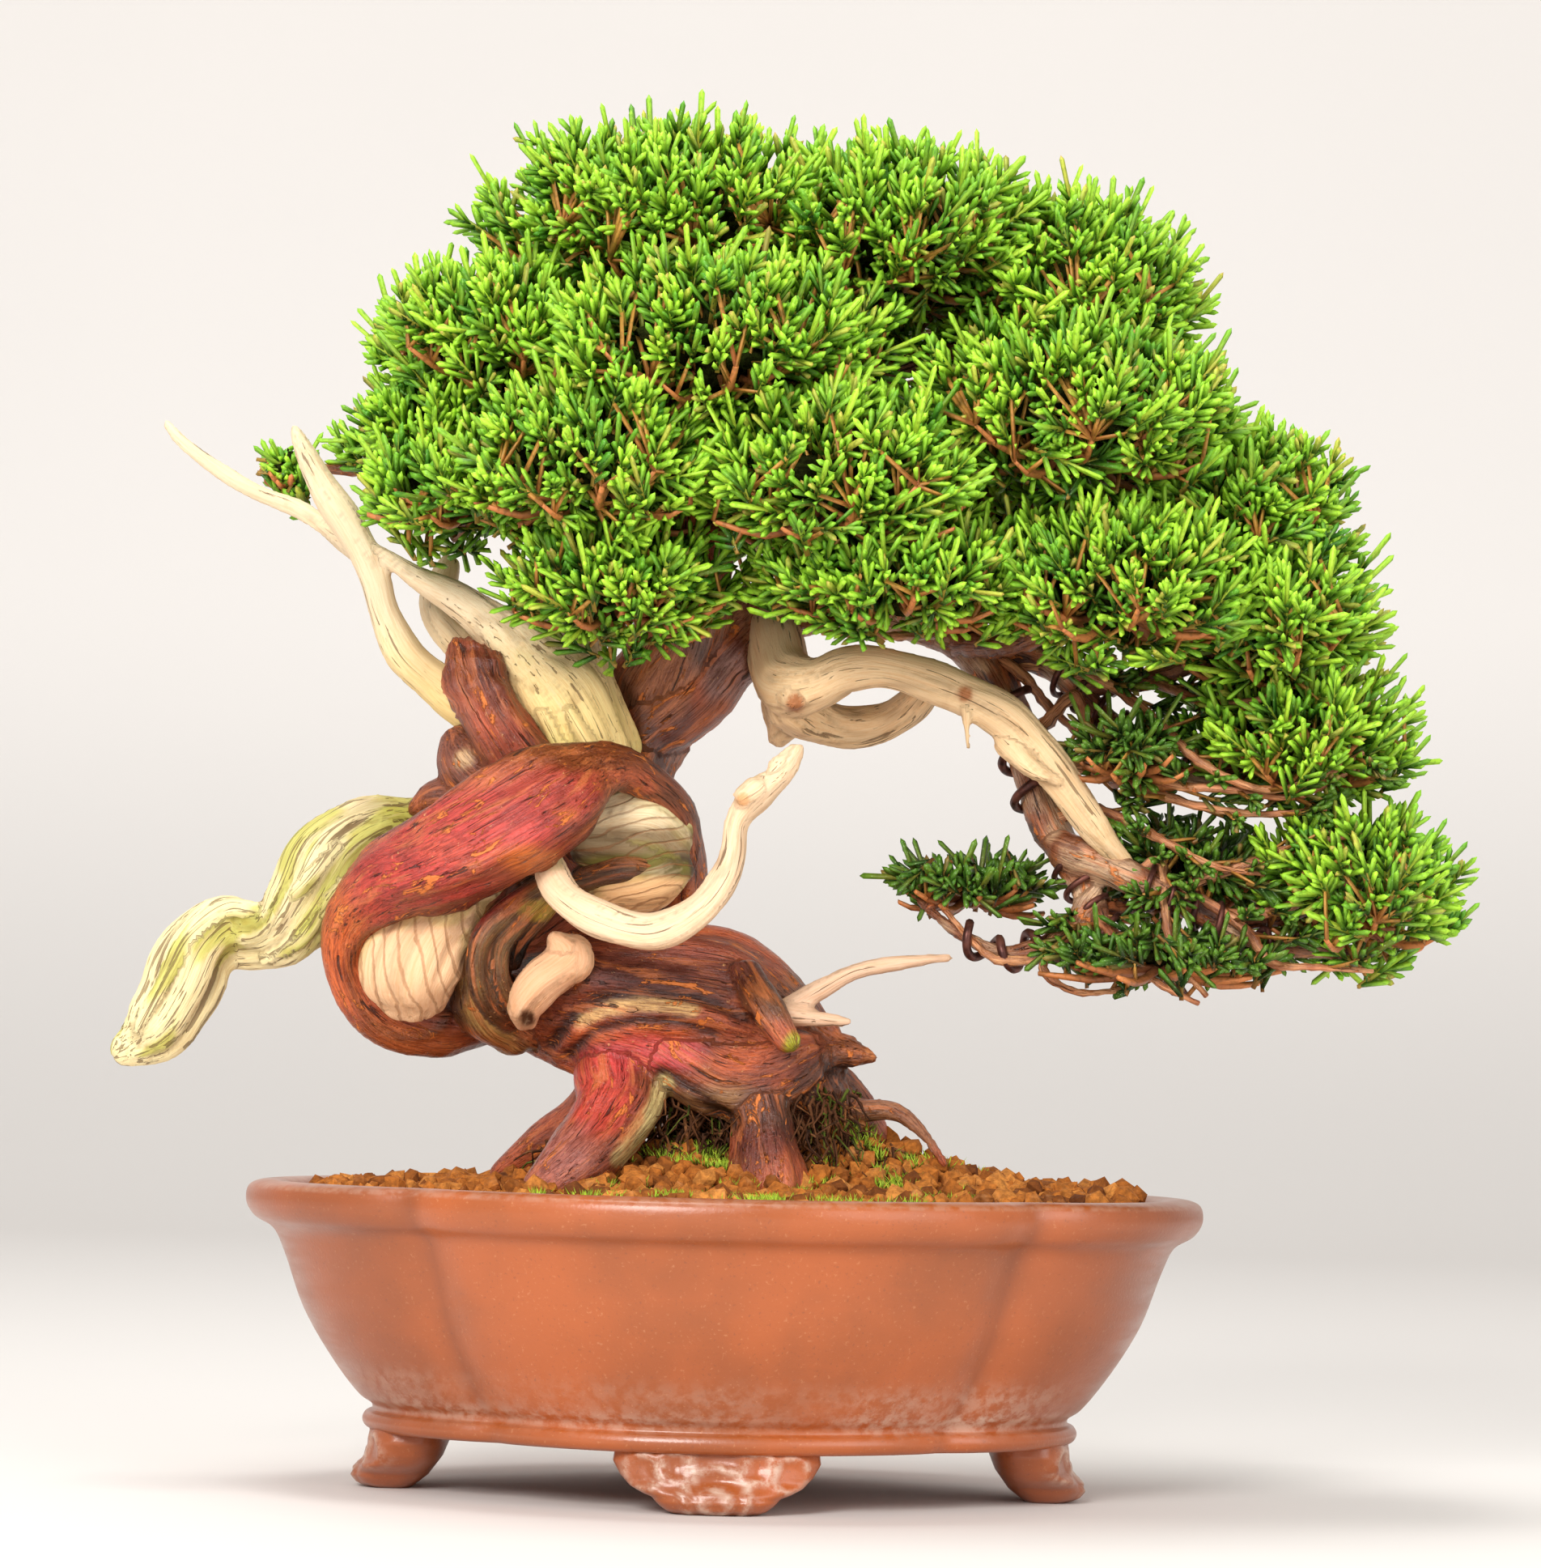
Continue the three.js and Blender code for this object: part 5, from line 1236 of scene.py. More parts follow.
class BONSAI_OT_soil(bpy.types.Operator):
    """Fill the pot with granules over a dark bed and set moss tufts between them"""

    bl_idname = "bonsai.soil"
    bl_label = "Soil and moss"

    def execute(self, context):
        settings = context.scene.bonsai_soil
        draw = np.random.default_rng(11)
        self.bed()
        self.grains(settings, draw)
        self.moss(settings, draw)
        return {"FINISHED"}

    def bed(self):
        """The soil's section turned to the plan of the pot, its top raised to the soil's height."""
        shares = np.array([1.0, 0.93, 0.85, 0.75, 0.65, 0.55, 0.45, 0.35, 0.25, 0.15, 0.07])
        top = np.stack([SOIL_REACH * shares, np.full(len(shares), SOIL_EDGE_HEIGHT)], axis=1)
        rings = turned_section(np.concatenate([np.array(SOIL_WALL[1:], float), top]), 120)
        raised = rings[len(SOIL_WALL) - 1:]
        raised[..., 2] = soil_height(raised[..., 0], raised[..., 1]) - 0.8
        places, faces = closed_rings(rings, [[0, 0, SOIL_WALL[0][1]], [0, 0, soil_height(0, 0) - 0.8]])
        # Painted shade: the bed is dark so that the gaps between the grains show as shadow.
        tint = np.tile(screen(70, 36, 18), (len(places), 1))
        new_piece("soil_bed", places, faces, grain_finish("soil_bed"), ("soil",),
                  colours={"tint": tint})

    def grains(self, settings, draw):
        """Crumbs on a jittered triangular grid, with some more lying on them."""
        size = settings.grain_size / MM
        step = size * 0.86
        x, y = np.meshgrid(np.arange(-76, 76, step), np.arange(-60, 60, step * 0.866))
        x = x + np.where(np.arange(x.shape[0]) % 2 == 1, step / 2, 0)[:, None]
        spots = np.stack([x.ravel(), y.ravel()], axis=1)
        spots = in_pot(spots + draw.uniform(-0.35, 0.35, spots.shape) * step, 0.985)
        upper = spots[draw.random(len(spots)) < 0.22] + draw.uniform(-1, 1, (1, 2))
        every = np.concatenate([spots, upper])
        lift = np.concatenate([draw.uniform(-0.7, 0.5, len(spots)), draw.uniform(0.9, 1.8, len(upper))])
        z = soil_height(every[:, 0], every[:, 1]) + lift
        middles = np.column_stack([every, z])
        shape, triangles = crumb_shape()
        sizes = size / 2 * draw.uniform(0.7, 1.4, (len(middles), 1))
        sizes = sizes * draw.uniform(0.75, 1.25, (len(middles), 3))
        places, faces = scatter_copies(shape, triangles, middles, sizes, draw, 0.24)
        share = draw.beta(1.6, 1.6, len(middles))
        light = paint(np.array(settings.grain_colour), np.clip(share * 2 - 1, 0, 1) ** 1.4, 236, 158, 76)
        dark = blend_colours(screen(112, 60, 24), np.array(settings.grain_colour), np.clip(share * 2, 0, 1))
        tint = np.repeat(np.where(share[:, None] > 0.5, light, dark), len(shape), axis=0)
        new_piece("soil_grains", places, faces, grain_finish("soil_grains"), colours={"tint": tint},
                  smooth=False)

    def moss(self, settings, draw):
        """Tufts of pointed leaflets, each a slim three-sided cone that leans out of its tuft."""
        front = np.column_stack([draw.uniform(-30, 50, 84), draw.uniform(-54, -43, 84)])
        near = np.column_stack([draw.uniform(-34, 44, 34), draw.uniform(-34, 34, 34)])
        right = np.column_stack([draw.uniform(12, 34, 16), draw.uniform(-24, 4, 16)])
        between = np.column_stack([draw.uniform(-12, 4, 26), draw.uniform(-16, -4, 26)])
        spots = in_pot(np.concatenate([front, near, right, between]), 0.97)
        leaflets = 30
        count = len(spots) * leaflets
        spread = draw.uniform(0.8, 2.6, len(spots))
        offset = draw.normal(size=(count, 2)) * np.repeat(spread, leaflets)[:, None] * 0.55
        root = np.repeat(spots, leaflets, axis=0) + offset
        root = np.column_stack([root, soil_height(root[:, 0], root[:, 1]) + 0.9])
        lean = np.column_stack([offset * 0.35 + draw.normal(size=(count, 2)) * 0.3, np.ones(count)])
        tip = root + lean * draw.uniform(0.9, 2.2, (count, 1))
        angle = np.array([0, 2, 4]) * math.pi / 3
        ring = np.stack([np.cos(angle), np.sin(angle), np.zeros(3)], axis=1) * 0.22
        places = np.concatenate([root[:, None] + ring[None], tip[:, None]], axis=1).reshape(-1, 3)
        faces = copied_faces(count, 4, np.array([[0, 1, 3], [1, 2, 3], [2, 0, 3], [2, 1, 0]]))
        shade = np.repeat(draw.uniform(0.45, 1.25, count), 4) * np.tile([0.5, 0.5, 0.5, 1.2], count)
        tint = np.array(settings.moss_colour)[None] * shade[:, None]
        new_piece("moss", places, faces, moss_finish(), colours={"tint": tint})


def live_lines():
    """The sampled middle line of every living limb."""
    return {name: follow(path, 10) for name, path in LIVE_LIMBS.items()}


def live_flutes(seed):
    """Three broad flutes that wind along the limb, and finer uneven ones between them."""
    def factor(angle, length):
        wind = length * 0.055
        broad = 0.09 * np.cos(3 * angle + wind)
        fine = 0.035 * np.cos(7 * angle + wind * 1.9 + seed)
        return 1 + broad + fine + 0.02 * np.sin(11 * angle - wind * 2.3 + 2 * seed)
    return factor


def plain_swell(seed):
    """A slightly oval section that swells and shrinks along the limb."""
    def factor(angle, length):
        return 1 + 0.06 * np.cos(2 * angle + length * 0.11 + seed) + 0.05 * np.sin(length * 0.45 + seed)
    return factor


class BONSAI_OT_live_wood(bpy.types.Operator):
    """Grow the trunk, its coil, the roots and the branches under bark"""

    bl_idname = "bonsai.live_wood"
    bl_label = "Live wood"

    def execute(self, context):
        settings = context.scene.bonsai_wood
        lines = live_lines()
        parts = []
        for i, (name, line) in enumerate(lines.items()):
            thick = line["radius"].max() > 6.5
            parts.append(tube(line, 48 if thick else 24, live_flutes(i) if thick else plain_swell(i)))
        places, quads, edges = fuse(parts, settings.voxel / MM)
        places = relax(places, edges, 2)
        names = list(lines)
        number, angle, length, share, radius = nearest_on_limbs(places, list(lines.values()))
        grain = grain_places(angle, length, radius)
        normal = relax(vertex_normals(places, quads), edges, 2)
        on_branch = np.isin(number, [names.index(name) for name in BRANCH_LIMBS])
        thin = smooth_step(2.0, 6.0, radius)
        ridges = (0.2 + rough_noise(grain, (4.5, 4.5, 24), 3) * 0.5 + rough_noise(places, 6, 15) * 0.3) * thin
        fibres = rough_noise(grain, (1.6, 1.6, 12), 9, 2) * 0.14 * np.clip(radius / 4, 0.3, 1)
        high = smooth_step(104, 116, places[:, 2]) * (places[:, 1] > -2)
        knobbly = rough_noise(places, 5.0, 21) * (0.35 * on_branch + 0.6 * high * (1 - on_branch))
        dead = [follow(path, 8) for paths in DEAD_LIMBS.values() for path in paths]
        _, _, _, dead_share, _ = nearest_on_limbs(places, dead)
        lip = np.exp(-((dead_share - 1.22) / 0.14) ** 2)
        places = places + normal * (ridges + fibres + knobbly + 0.7 * lip * thin)[:, None]
        tint = self.tint(settings, places, grain, normal, number, names, on_branch, dead_share, edges)
        for line, half, depth, colour in SPLITS:
            share = smooth_step(half + 0.7, half - 0.3, self.from_split(places, line)) * (normal[:, 1] < 0.1)
            places = places - normal * (share * depth)[:, None]
            tint = paint(tint, share * 0.9, *colour)
        stub = (places[:, 0] < -38) & (places[:, 2] > 128)
        places[stub] += normal[stub] * (0.8 * rough_noise(places[stub], 2.6, 45))[:, None]
        level = (places[:, 2] > 67) * (places[:, 2] < 80)
        broken = smooth_step(13, 18, places[:, 0]) * level * (places[:, 1] < 3)
        places = places + normal * (broken * (0.9 * rough_noise(places, 2.4, 47) - 0.3))[:, None]
        ragged_top = 140.6 - 0.35 * (places[:, 0] + 44) + 0.9 * rough_noise(places, 1.6, 46)
        places[stub, 2] = np.minimum(places[stub, 2], ragged_top[stub])
        twigs, twig_faces, twig_grain, twig_tint = self.twigs()
        faces = [quads] + [block + len(places) for block in twig_faces]
        places = np.concatenate([places, twigs])
        new_piece("live_wood_bark", places, faces, bark_finish(), ("live_wood",),
                  attributes={"grain": np.concatenate([grain, twig_grain])},
                  colours={"tint": np.concatenate([tint, twig_tint])})
        return {"FINISHED"}

    def from_split(self, places, line):
        """Distance in x and z from a line seen from the front."""
        line = np.array(line, float)
        at = np.linspace(0, len(line) - 1, 8 * len(line))
        dense = np.stack([np.interp(at, np.arange(len(line)), line[:, k]) for k in (0, 1)], axis=1)
        return np.hypot(places[:, :1] - dense[None, :, 0], places[:, 2:] - dense[None, :, 1]).min(axis=1)

    def twigs(self):
        """From the wood to the middle of each pad, bowed down like a branch under its foliage, and the fine
        branches under the drooping side. Their bark is scaly: it swells and shrinks along them."""
        def scaly(angle, length):
            return 1 + 0.14 * np.sin(length * 2.4 + 1.5 * np.cos(angle)) + 0.1 * np.cos(2 * angle + length)

        parts, grains, tints, paths = [], [], [], []
        for middle, _, start, _ in PADS.values():
            first, last = np.array(start[:3], float), np.array(middle, float)
            sag = np.array([0, 0, -0.08 * np.linalg.norm(last - first)])
            bowed = first * 0.6 + last * 0.4 + sag
            paths.append([(*first, start[3]), (*bowed, start[3] * 0.75), (*last, 0.9)])
        for points in FINE_BRANCHES:
            width = np.linspace(1.25, 0.45, len(points))
            paths.append([(*point, radius) for point, radius in zip(points, width)])
        for i, path in enumerate(paths):
            main = i < len(PADS)
            line = follow(path, 12 if main else 7)
            places, faces = tube(line, 7, scaly)
            parts.append((places, faces))
            _, angle, length, _, radius = nearest_on_limbs(places, [line])
            grains.append(grain_places(angle, length, radius))
            shade = 0.5 + 0.5 * smooth_noise(places, (3, 3, 3), 61)
            low, high = ((120, 70, 46), (196, 120, 76)) if main else ((190, 108, 66), (255, 190, 132))
            tints.append(paint(screen(*low), shade, *high))
        places, faces = merge_parts(parts)
        return places, faces, np.concatenate(grains), np.concatenate(tints)

    def tint(self, settings, places, grain, normal, number, names, on_branch, dead_share, edges):
        """Red-brown bark with its patches, painted shade on the coil where it turns away from the front
        (standing partly for its dark bark rims), brown lips round the dead wood, painted shade in the folds
        and hollows, a painted shadow in a small hole in the trunk, and sandy on the branches."""
        broad = rough_noise(grain, (6, 6, 24), 31)
        patch = rough_noise(places, 7, 41)
        colour = np.tile(np.array(settings.bark_colour), (len(places), 1))
        colour = paint(colour, smooth_step(-0.1, 0.7, broad) * 0.7, 120, 58, 40)

        def on(*limbs):
            return np.isin(number, [names.index(name) for name in limbs])

        colour = paint(colour, on("upper_trunk") * smooth_step(-0.6, 0.2, patch) * 0.8, 170, 124, 100)
        folds = on("fold", "fold_outer", "fold_middle", "fold_inner", "hollow_fold")
        ropes = paint(screen(100, 66, 40), smooth_step(-0.3, 0.4, broad), 190, 150, 84)
        colour = np.where(folds[:, None], ropes, colour)
        for middle, half, tone, strength in BARK_PATCHES:
            reach = np.linalg.norm((places - np.array(middle)) / np.array(half), axis=1)
            share = smooth_step(1.35, 0.65, reach + 0.35 * broad + 0.2 * patch)
            colour = paint(colour, share * strength, *tone)
        branch = paint(screen(156, 92, 56), smooth_step(-0.2, 0.5, patch), 226, 186, 146)
        branch = paint(branch, smooth_step(0.25, 0.55, -patch), 96, 58, 44)
        branch = np.where((places[:, 0] > 8)[:, None], branch, colour)
        colour = np.where(on_branch[:, None], branch, colour)
        # Painted shade: the coil darkens where its surface turns away from the front, which also stands for
        # its dark bark rims.
        rim = on("coil") * smooth_step(0.5, 0.12, -normal[:, 1]) * smooth_step(1.0, 0.6, np.abs(broad))
        colour = paint(colour, rim * 0.65, 94, 50, 28)
        lip = np.exp(-((dead_share - 1.16) / 0.12) ** 2)
        colour = paint(colour, lip * 0.7, 104, 60, 34)
        # Painted shade: places that lie inside their wider neighbourhood, the folds and hollows, are
        # darkened.
        fold = relax(self.hollows(places, edges)[:, None], edges, 2)[:, 0]
        colour = paint(colour, fold * 0.85, 44, 24, 18)
        # Painted shadow: near black in a small hole in the trunk beside the swan.
        hole_shadow_reach = np.linalg.norm((places - np.array([-33.8, -11, 90])) / np.array([3.6, 5, 3.2]), axis=1)
        return paint(colour, smooth_step(1.3, 0.8, hole_shadow_reach), 18, 12, 8)

    def hollows(self, places, edges):
        """How far each vertex lies inside the mean of its wider neighbourhood, from 0 to 1."""
        wide = relax(places, edges, 12)
        outward = places - places.mean(0)
        inward = np.linalg.norm(wide - places, axis=1)
        lies_in = ((wide - places) * outward).sum(1) > 0
        return smooth_step(0.35, 1.1, inward) * lies_in


class BONSAI_OT_root_fibres(bpy.types.Operator):
    """Hang a mat of fine dark roots in the hollows under the trunk"""

    bl_idname = "bonsai.root_fibres"
    bl_label = "Root fibres"

    def execute(self, context):
        """Three-sided fibres of four rings. Each runs down from its start in a random walk."""
        draw = np.random.default_rng(31)
        start = np.concatenate([np.array(middle) + np.array(half) * draw.uniform(-1, 1, (count, 3))
                                for middle, half, count in ROOT_NESTS])
        count, rings = len(start), 4
        step = draw.normal(0, 0.9, (count, rings, 3)) + np.array([0, 0, -1.6])
        step[:, 0] = 0
        heading = draw.normal(0, 0.8, (count, 1, 3)) * np.array([1, 1, 0.3])
        spine = start[:, None] + np.cumsum(step + heading, axis=1)
        floor = soil_height(spine[..., 0], spine[..., 1]) - 0.5
        spine[..., 2] = np.maximum(spine[..., 2], floor)
        along = unit(np.gradient(spine, axis=1) + 1e-6)
        width = draw.uniform(0.14, 0.36, (count, 1, 1, 1)) * np.linspace(1.2, 0.5, rings)[:, None, None]
        places, faces = prisms(spine, along, (0.4, 0.7, 0.6), 3, width)
        tint = paint(screen(56, 34, 22), draw.beta(1.2, 2.2, count), 156, 98, 54)
        mossy = draw.random(count) < 0.2
        tint = np.where(mossy[:, None], screen(96, 112, 36), tint)
        new_piece("root_fibres", places, faces, grain_finish("root_fibres"),
                  colours={"tint": np.repeat(tint, rings * 3, axis=0)})
        return {"FINISHED"}


class BONSAI_OT_deadwood(bpy.types.Operator):
    """Carve the bleached dead wood: tail, antlers, crescent, swan, cheek, hollow, arch and spur"""

    bl_idname = "bonsai.deadwood"
    bl_label = "Dead wood"

    def execute(self, context):
        settings = context.scene.bonsai_wood
        material = deadwood_finish()
        live = list(live_lines().values())
        for index, (name, paths) in enumerate(DEAD_LIMBS.items()):
            lines = [follow(path, 10) for path in paths + DEAD_DETAILS.get(name, [])]
            parts = [tube(line, 36, self.ragged(index * 5 + i, name)) for i, line in enumerate(lines)]
            places, quads, edges = fuse(parts, settings.voxel / MM * 0.82)
            places = relax(places, edges, 2)
            _, angle, length, _, radius = nearest_on_limbs(places, lines)
            grain = grain_places(angle, length, radius)
            normal = relax(vertex_normals(places, quads), edges, 1)
            cracked = 0.5 if name == "deadwood_tail" else 0.4
            ridge = np.abs(smooth_noise(grain, (2.2, 2.2, 30), 50 + index))
            crack = smooth_step(0.16, 0.0, ridge) * cracked
            waves = rough_noise(grain, (3.0, 3.0, 22), 60 + index) * 0.4
            weight = np.clip(radius / 4, 0.25, 1)
            places = places + normal * ((waves - crack * 0.9) * weight)[:, None]
            _, _, _, live_share, live_radius = nearest_on_limbs(places, live)
            gap = (live_share - 1) * live_radius
            tint = self.tint(settings, name, places, grain, gap, crack)
            new_piece(name + "_carved", places, [quads], material, (name,),
                      attributes={"grain": grain, "rings": self.rings(name, places)}, colours={"tint": tint})
        return {"FINISHED"}

    def ragged(self, seed, name):
        """Uneven ridges round a limb, deeper on the weathered tail."""
        deep = 1.5 if name == "deadwood_tail" else 0.8

        def factor(angle, length):
            wind = length * 0.03
            ridges = 0.09 * np.cos(2 * angle + wind + seed) + 0.06 * np.cos(5 * angle + wind * 2 + 2 * seed)
            fine = 0.035 * np.cos(9 * angle - wind + 3 * seed)
            return 1 + deep * (ridges + fine) * 0.8 + 0.04 * np.sin(length * 0.5 + seed)
        return factor

    def rings(self, name, places):
        """Year lines on the cut face of the cheek, curved round a place at its upper right, and the layers
        in the hollow."""
        count = np.linalg.norm((places - np.array([-40, -20, 97])) * np.array([1, 0.3, 0.5]), axis=1) / 2.5
        if name == "deadwood_hollow":
            count = (places[:, 2] - 0.3 * places[:, 0] + 2 * smooth_noise(places, 7, 83)) / 2.2
        count = count + 0.3 * smooth_noise(places, 5, 81)
        strength = np.full(len(places), {"deadwood_cheek": 0.5, "deadwood_hollow": 0.5}.get(name, 0.0))
        cracked = {"deadwood_tail": 1.0, "deadwood_antlers": 0.1, "deadwood_swan": -0.6,
                   "deadwood_cheek": -1.0, "deadwood_hollow": -0.6}.get(name, 0.1)
        return np.stack([count, strength, np.full(len(places), cracked)], axis=1)

    def tint(self, settings, name, places, grain, gap, crack):
        """Each piece's own shade of cream, yellow-green with algae near the bark and on old surfaces, dark in
        its cracks, and painted shade in the depth of the hollow."""
        x, y, z = places.T
        patch = rough_noise(grain, (4, 4, 14), 71)
        tone, algae_reach, algae_most = DEADWOOD_TONES[name]
        colour = paint(np.array(settings.deadwood_colour), np.full(len(places), 0.75), *tone)
        algae = smooth_step(algae_reach, 0, gap + 3 * patch) * algae_most
        if name == "deadwood_tail":
            algae = np.clip(algae + smooth_step(-0.02, 0.4, patch) * 0.7, 0, 0.8)
        if name == "deadwood_antlers":
            colour = paint(colour, smooth_step(148, 128, z) * 0.9, 255, 224, 150)
            spots = 0.15 * smooth_step(0.4, 0.8, patch) * (z < 140)
            algae = np.clip(algae * smooth_step(130, 118, z) + spots, 0, 0.8)
        if name == "deadwood_hollow":
            colour = paint(colour, smooth_step(111.5, 109.5, z + patch) * 0.75, 112, 84, 44)
            # Painted shade: a dark band lower in the hollow, where its inside lies in shadow.
            colour = paint(colour, smooth_step(107.5, 105.5, z + patch) * 0.8, 54, 34, 24)
            colour = paint(colour, smooth_step(103, 101.5, z) * 0.95, 240, 190, 136)
        if name == "deadwood_cheek":
            colour = paint(colour, smooth_step(-40.5, -36.5, x + 2 * patch) * 0.7, 112, 84, 44)
        for middle, size, knot in KNOTS:
            reach = np.hypot(x - middle[0], z - middle[1]) / size
            colour = paint(colour, smooth_step(1.3, 0.7, reach) * (y < -6), *knot)
        colour = paint(colour, algae, 184, 186, 50)
        return paint(colour, crack * 0.7, 110, 76, 44)


class BONSAI_OT_wires(bpy.types.Operator):
    """Wind the training wires round the branches"""

    bl_idname = "bonsai.wires"
    bl_label = "Training wires"

    def execute(self, context):
        material = wire_finish()
        for name, spec in WIRES.items():
            places, faces = self.wound(*spec, 0.78)
            new_piece(name + "_wound", places, faces, material, (name,))
        places, faces = merge_parts([self.wound(*spec, 0.55) for spec in THIN_WIRES])
        new_piece("thin_wires", places, faces, material)
        return {"FINISHED"}

    def wound(self, limb, start, end, turns, radius):
        """A tube along a helix round a limb, its turns a little uneven."""
        line = follow(LIVE_LIMBS[limb], 40)
        steps = turns * 20
        share = np.linspace(start, end, steps + 1) * (len(line["centre"]) - 1)
        centre = self.sample(line["centre"], share)
        across, beside = self.sample(line["across"], share), self.sample(line["beside"], share)
        angle = 2 * math.pi * np.arange(steps + 1) / 20
        reach = self.sample(line["radius"][:, None], share)[:, 0] + radius * 1.3 + 0.25 * np.sin(angle * 0.37)
        path = centre + across * (reach * np.cos(angle))[:, None] + beside * (reach * np.sin(angle))[:, None]
        return tube(follow(np.column_stack([path, np.full(len(path), radius)]), 2), 8)

    def sample(self, rows, share):
        """Rows of an array between whole row numbers, in a straight line from one to the next."""
        before = np.minimum(share.astype(int), len(rows) - 2)
        part = (share - before)[:, None]
        return rows[before] * (1 - part) + rows[before + 1] * part


def pad_surface(direction, half, share):
    """Lumpy, and flatter below than above: the direction scaled by the half sizes and by a lump factor."""
    lump = 1 + 0.16 * np.sin(8 * direction[:, 0] + half[0]) * np.cos(7 * direction[:, 1] + half[1])
    place = direction * np.array(half) * (np.asarray(share) * lump)[:, None]
    place[:, 2] = np.where(place[:, 2] < 0, place[:, 2] * 0.85, place[:, 2])
    return place


def pad_cell(name):
    """The planes that part a pad from its neighbours: their directions and how far out each lies."""
    middle, half = np.array(PADS[name][0], float), np.array(PADS[name][1], float)
    normals, limits = [], []
    for other, (place, size, _, _) in PADS.items():
        if other == name:
            continue
        apart = np.array(place, float) - middle
        mean = (half + np.array(size, float)) / 2
        normal = apart / mean / mean
        normal = normal / np.linalg.norm(normal)
        mine = np.linalg.norm(half * normal)
        theirs = np.linalg.norm(np.array(size, float) * normal)
        normals.append(normal)
        limits.append(apart @ normal * mine / (mine + theirs))
    return np.array(normals), np.array(limits)


def keep_in_cell(places, cell, slack=0.0):
    """Draws each place straight back towards the pad's middle until it lies within the planes."""
    normals, limits = cell
    reach = places @ normals.T
    allowed = limits[None] + slack
    scale = np.where(reach > allowed, allowed / np.maximum(reach, 1e-6), 1).min(axis=1)
    return places * scale[:, None], scale


# Shoots of one spray, a flat fan: where each leaves the stem and its length, as shares of the spray's
# length, the angle that it leans out by, and which way it points round the stem.
SPRAY_SHOOTS = np.array([
    (0.0, 1.0, 0.0, 0.0), (0.06, 0.46, 0.86, 0.1), (0.16, 0.48, 0.82, 3.2), (0.28, 0.46, 0.76, 0.2),
    (0.38, 0.44, 0.72, 3.3), (0.50, 0.38, 0.64, 6.2), (0.60, 0.34, 0.58, 3.0), (0.20, 0.42, 0.70, 1.6),
    (0.40, 0.38, 0.62, 4.7),
])
SHOOT_CAP = 0.6               # millimetres from a shoot's shoulder to its point
SHOOT_WIDTHS = np.array([0.82, 1.0])


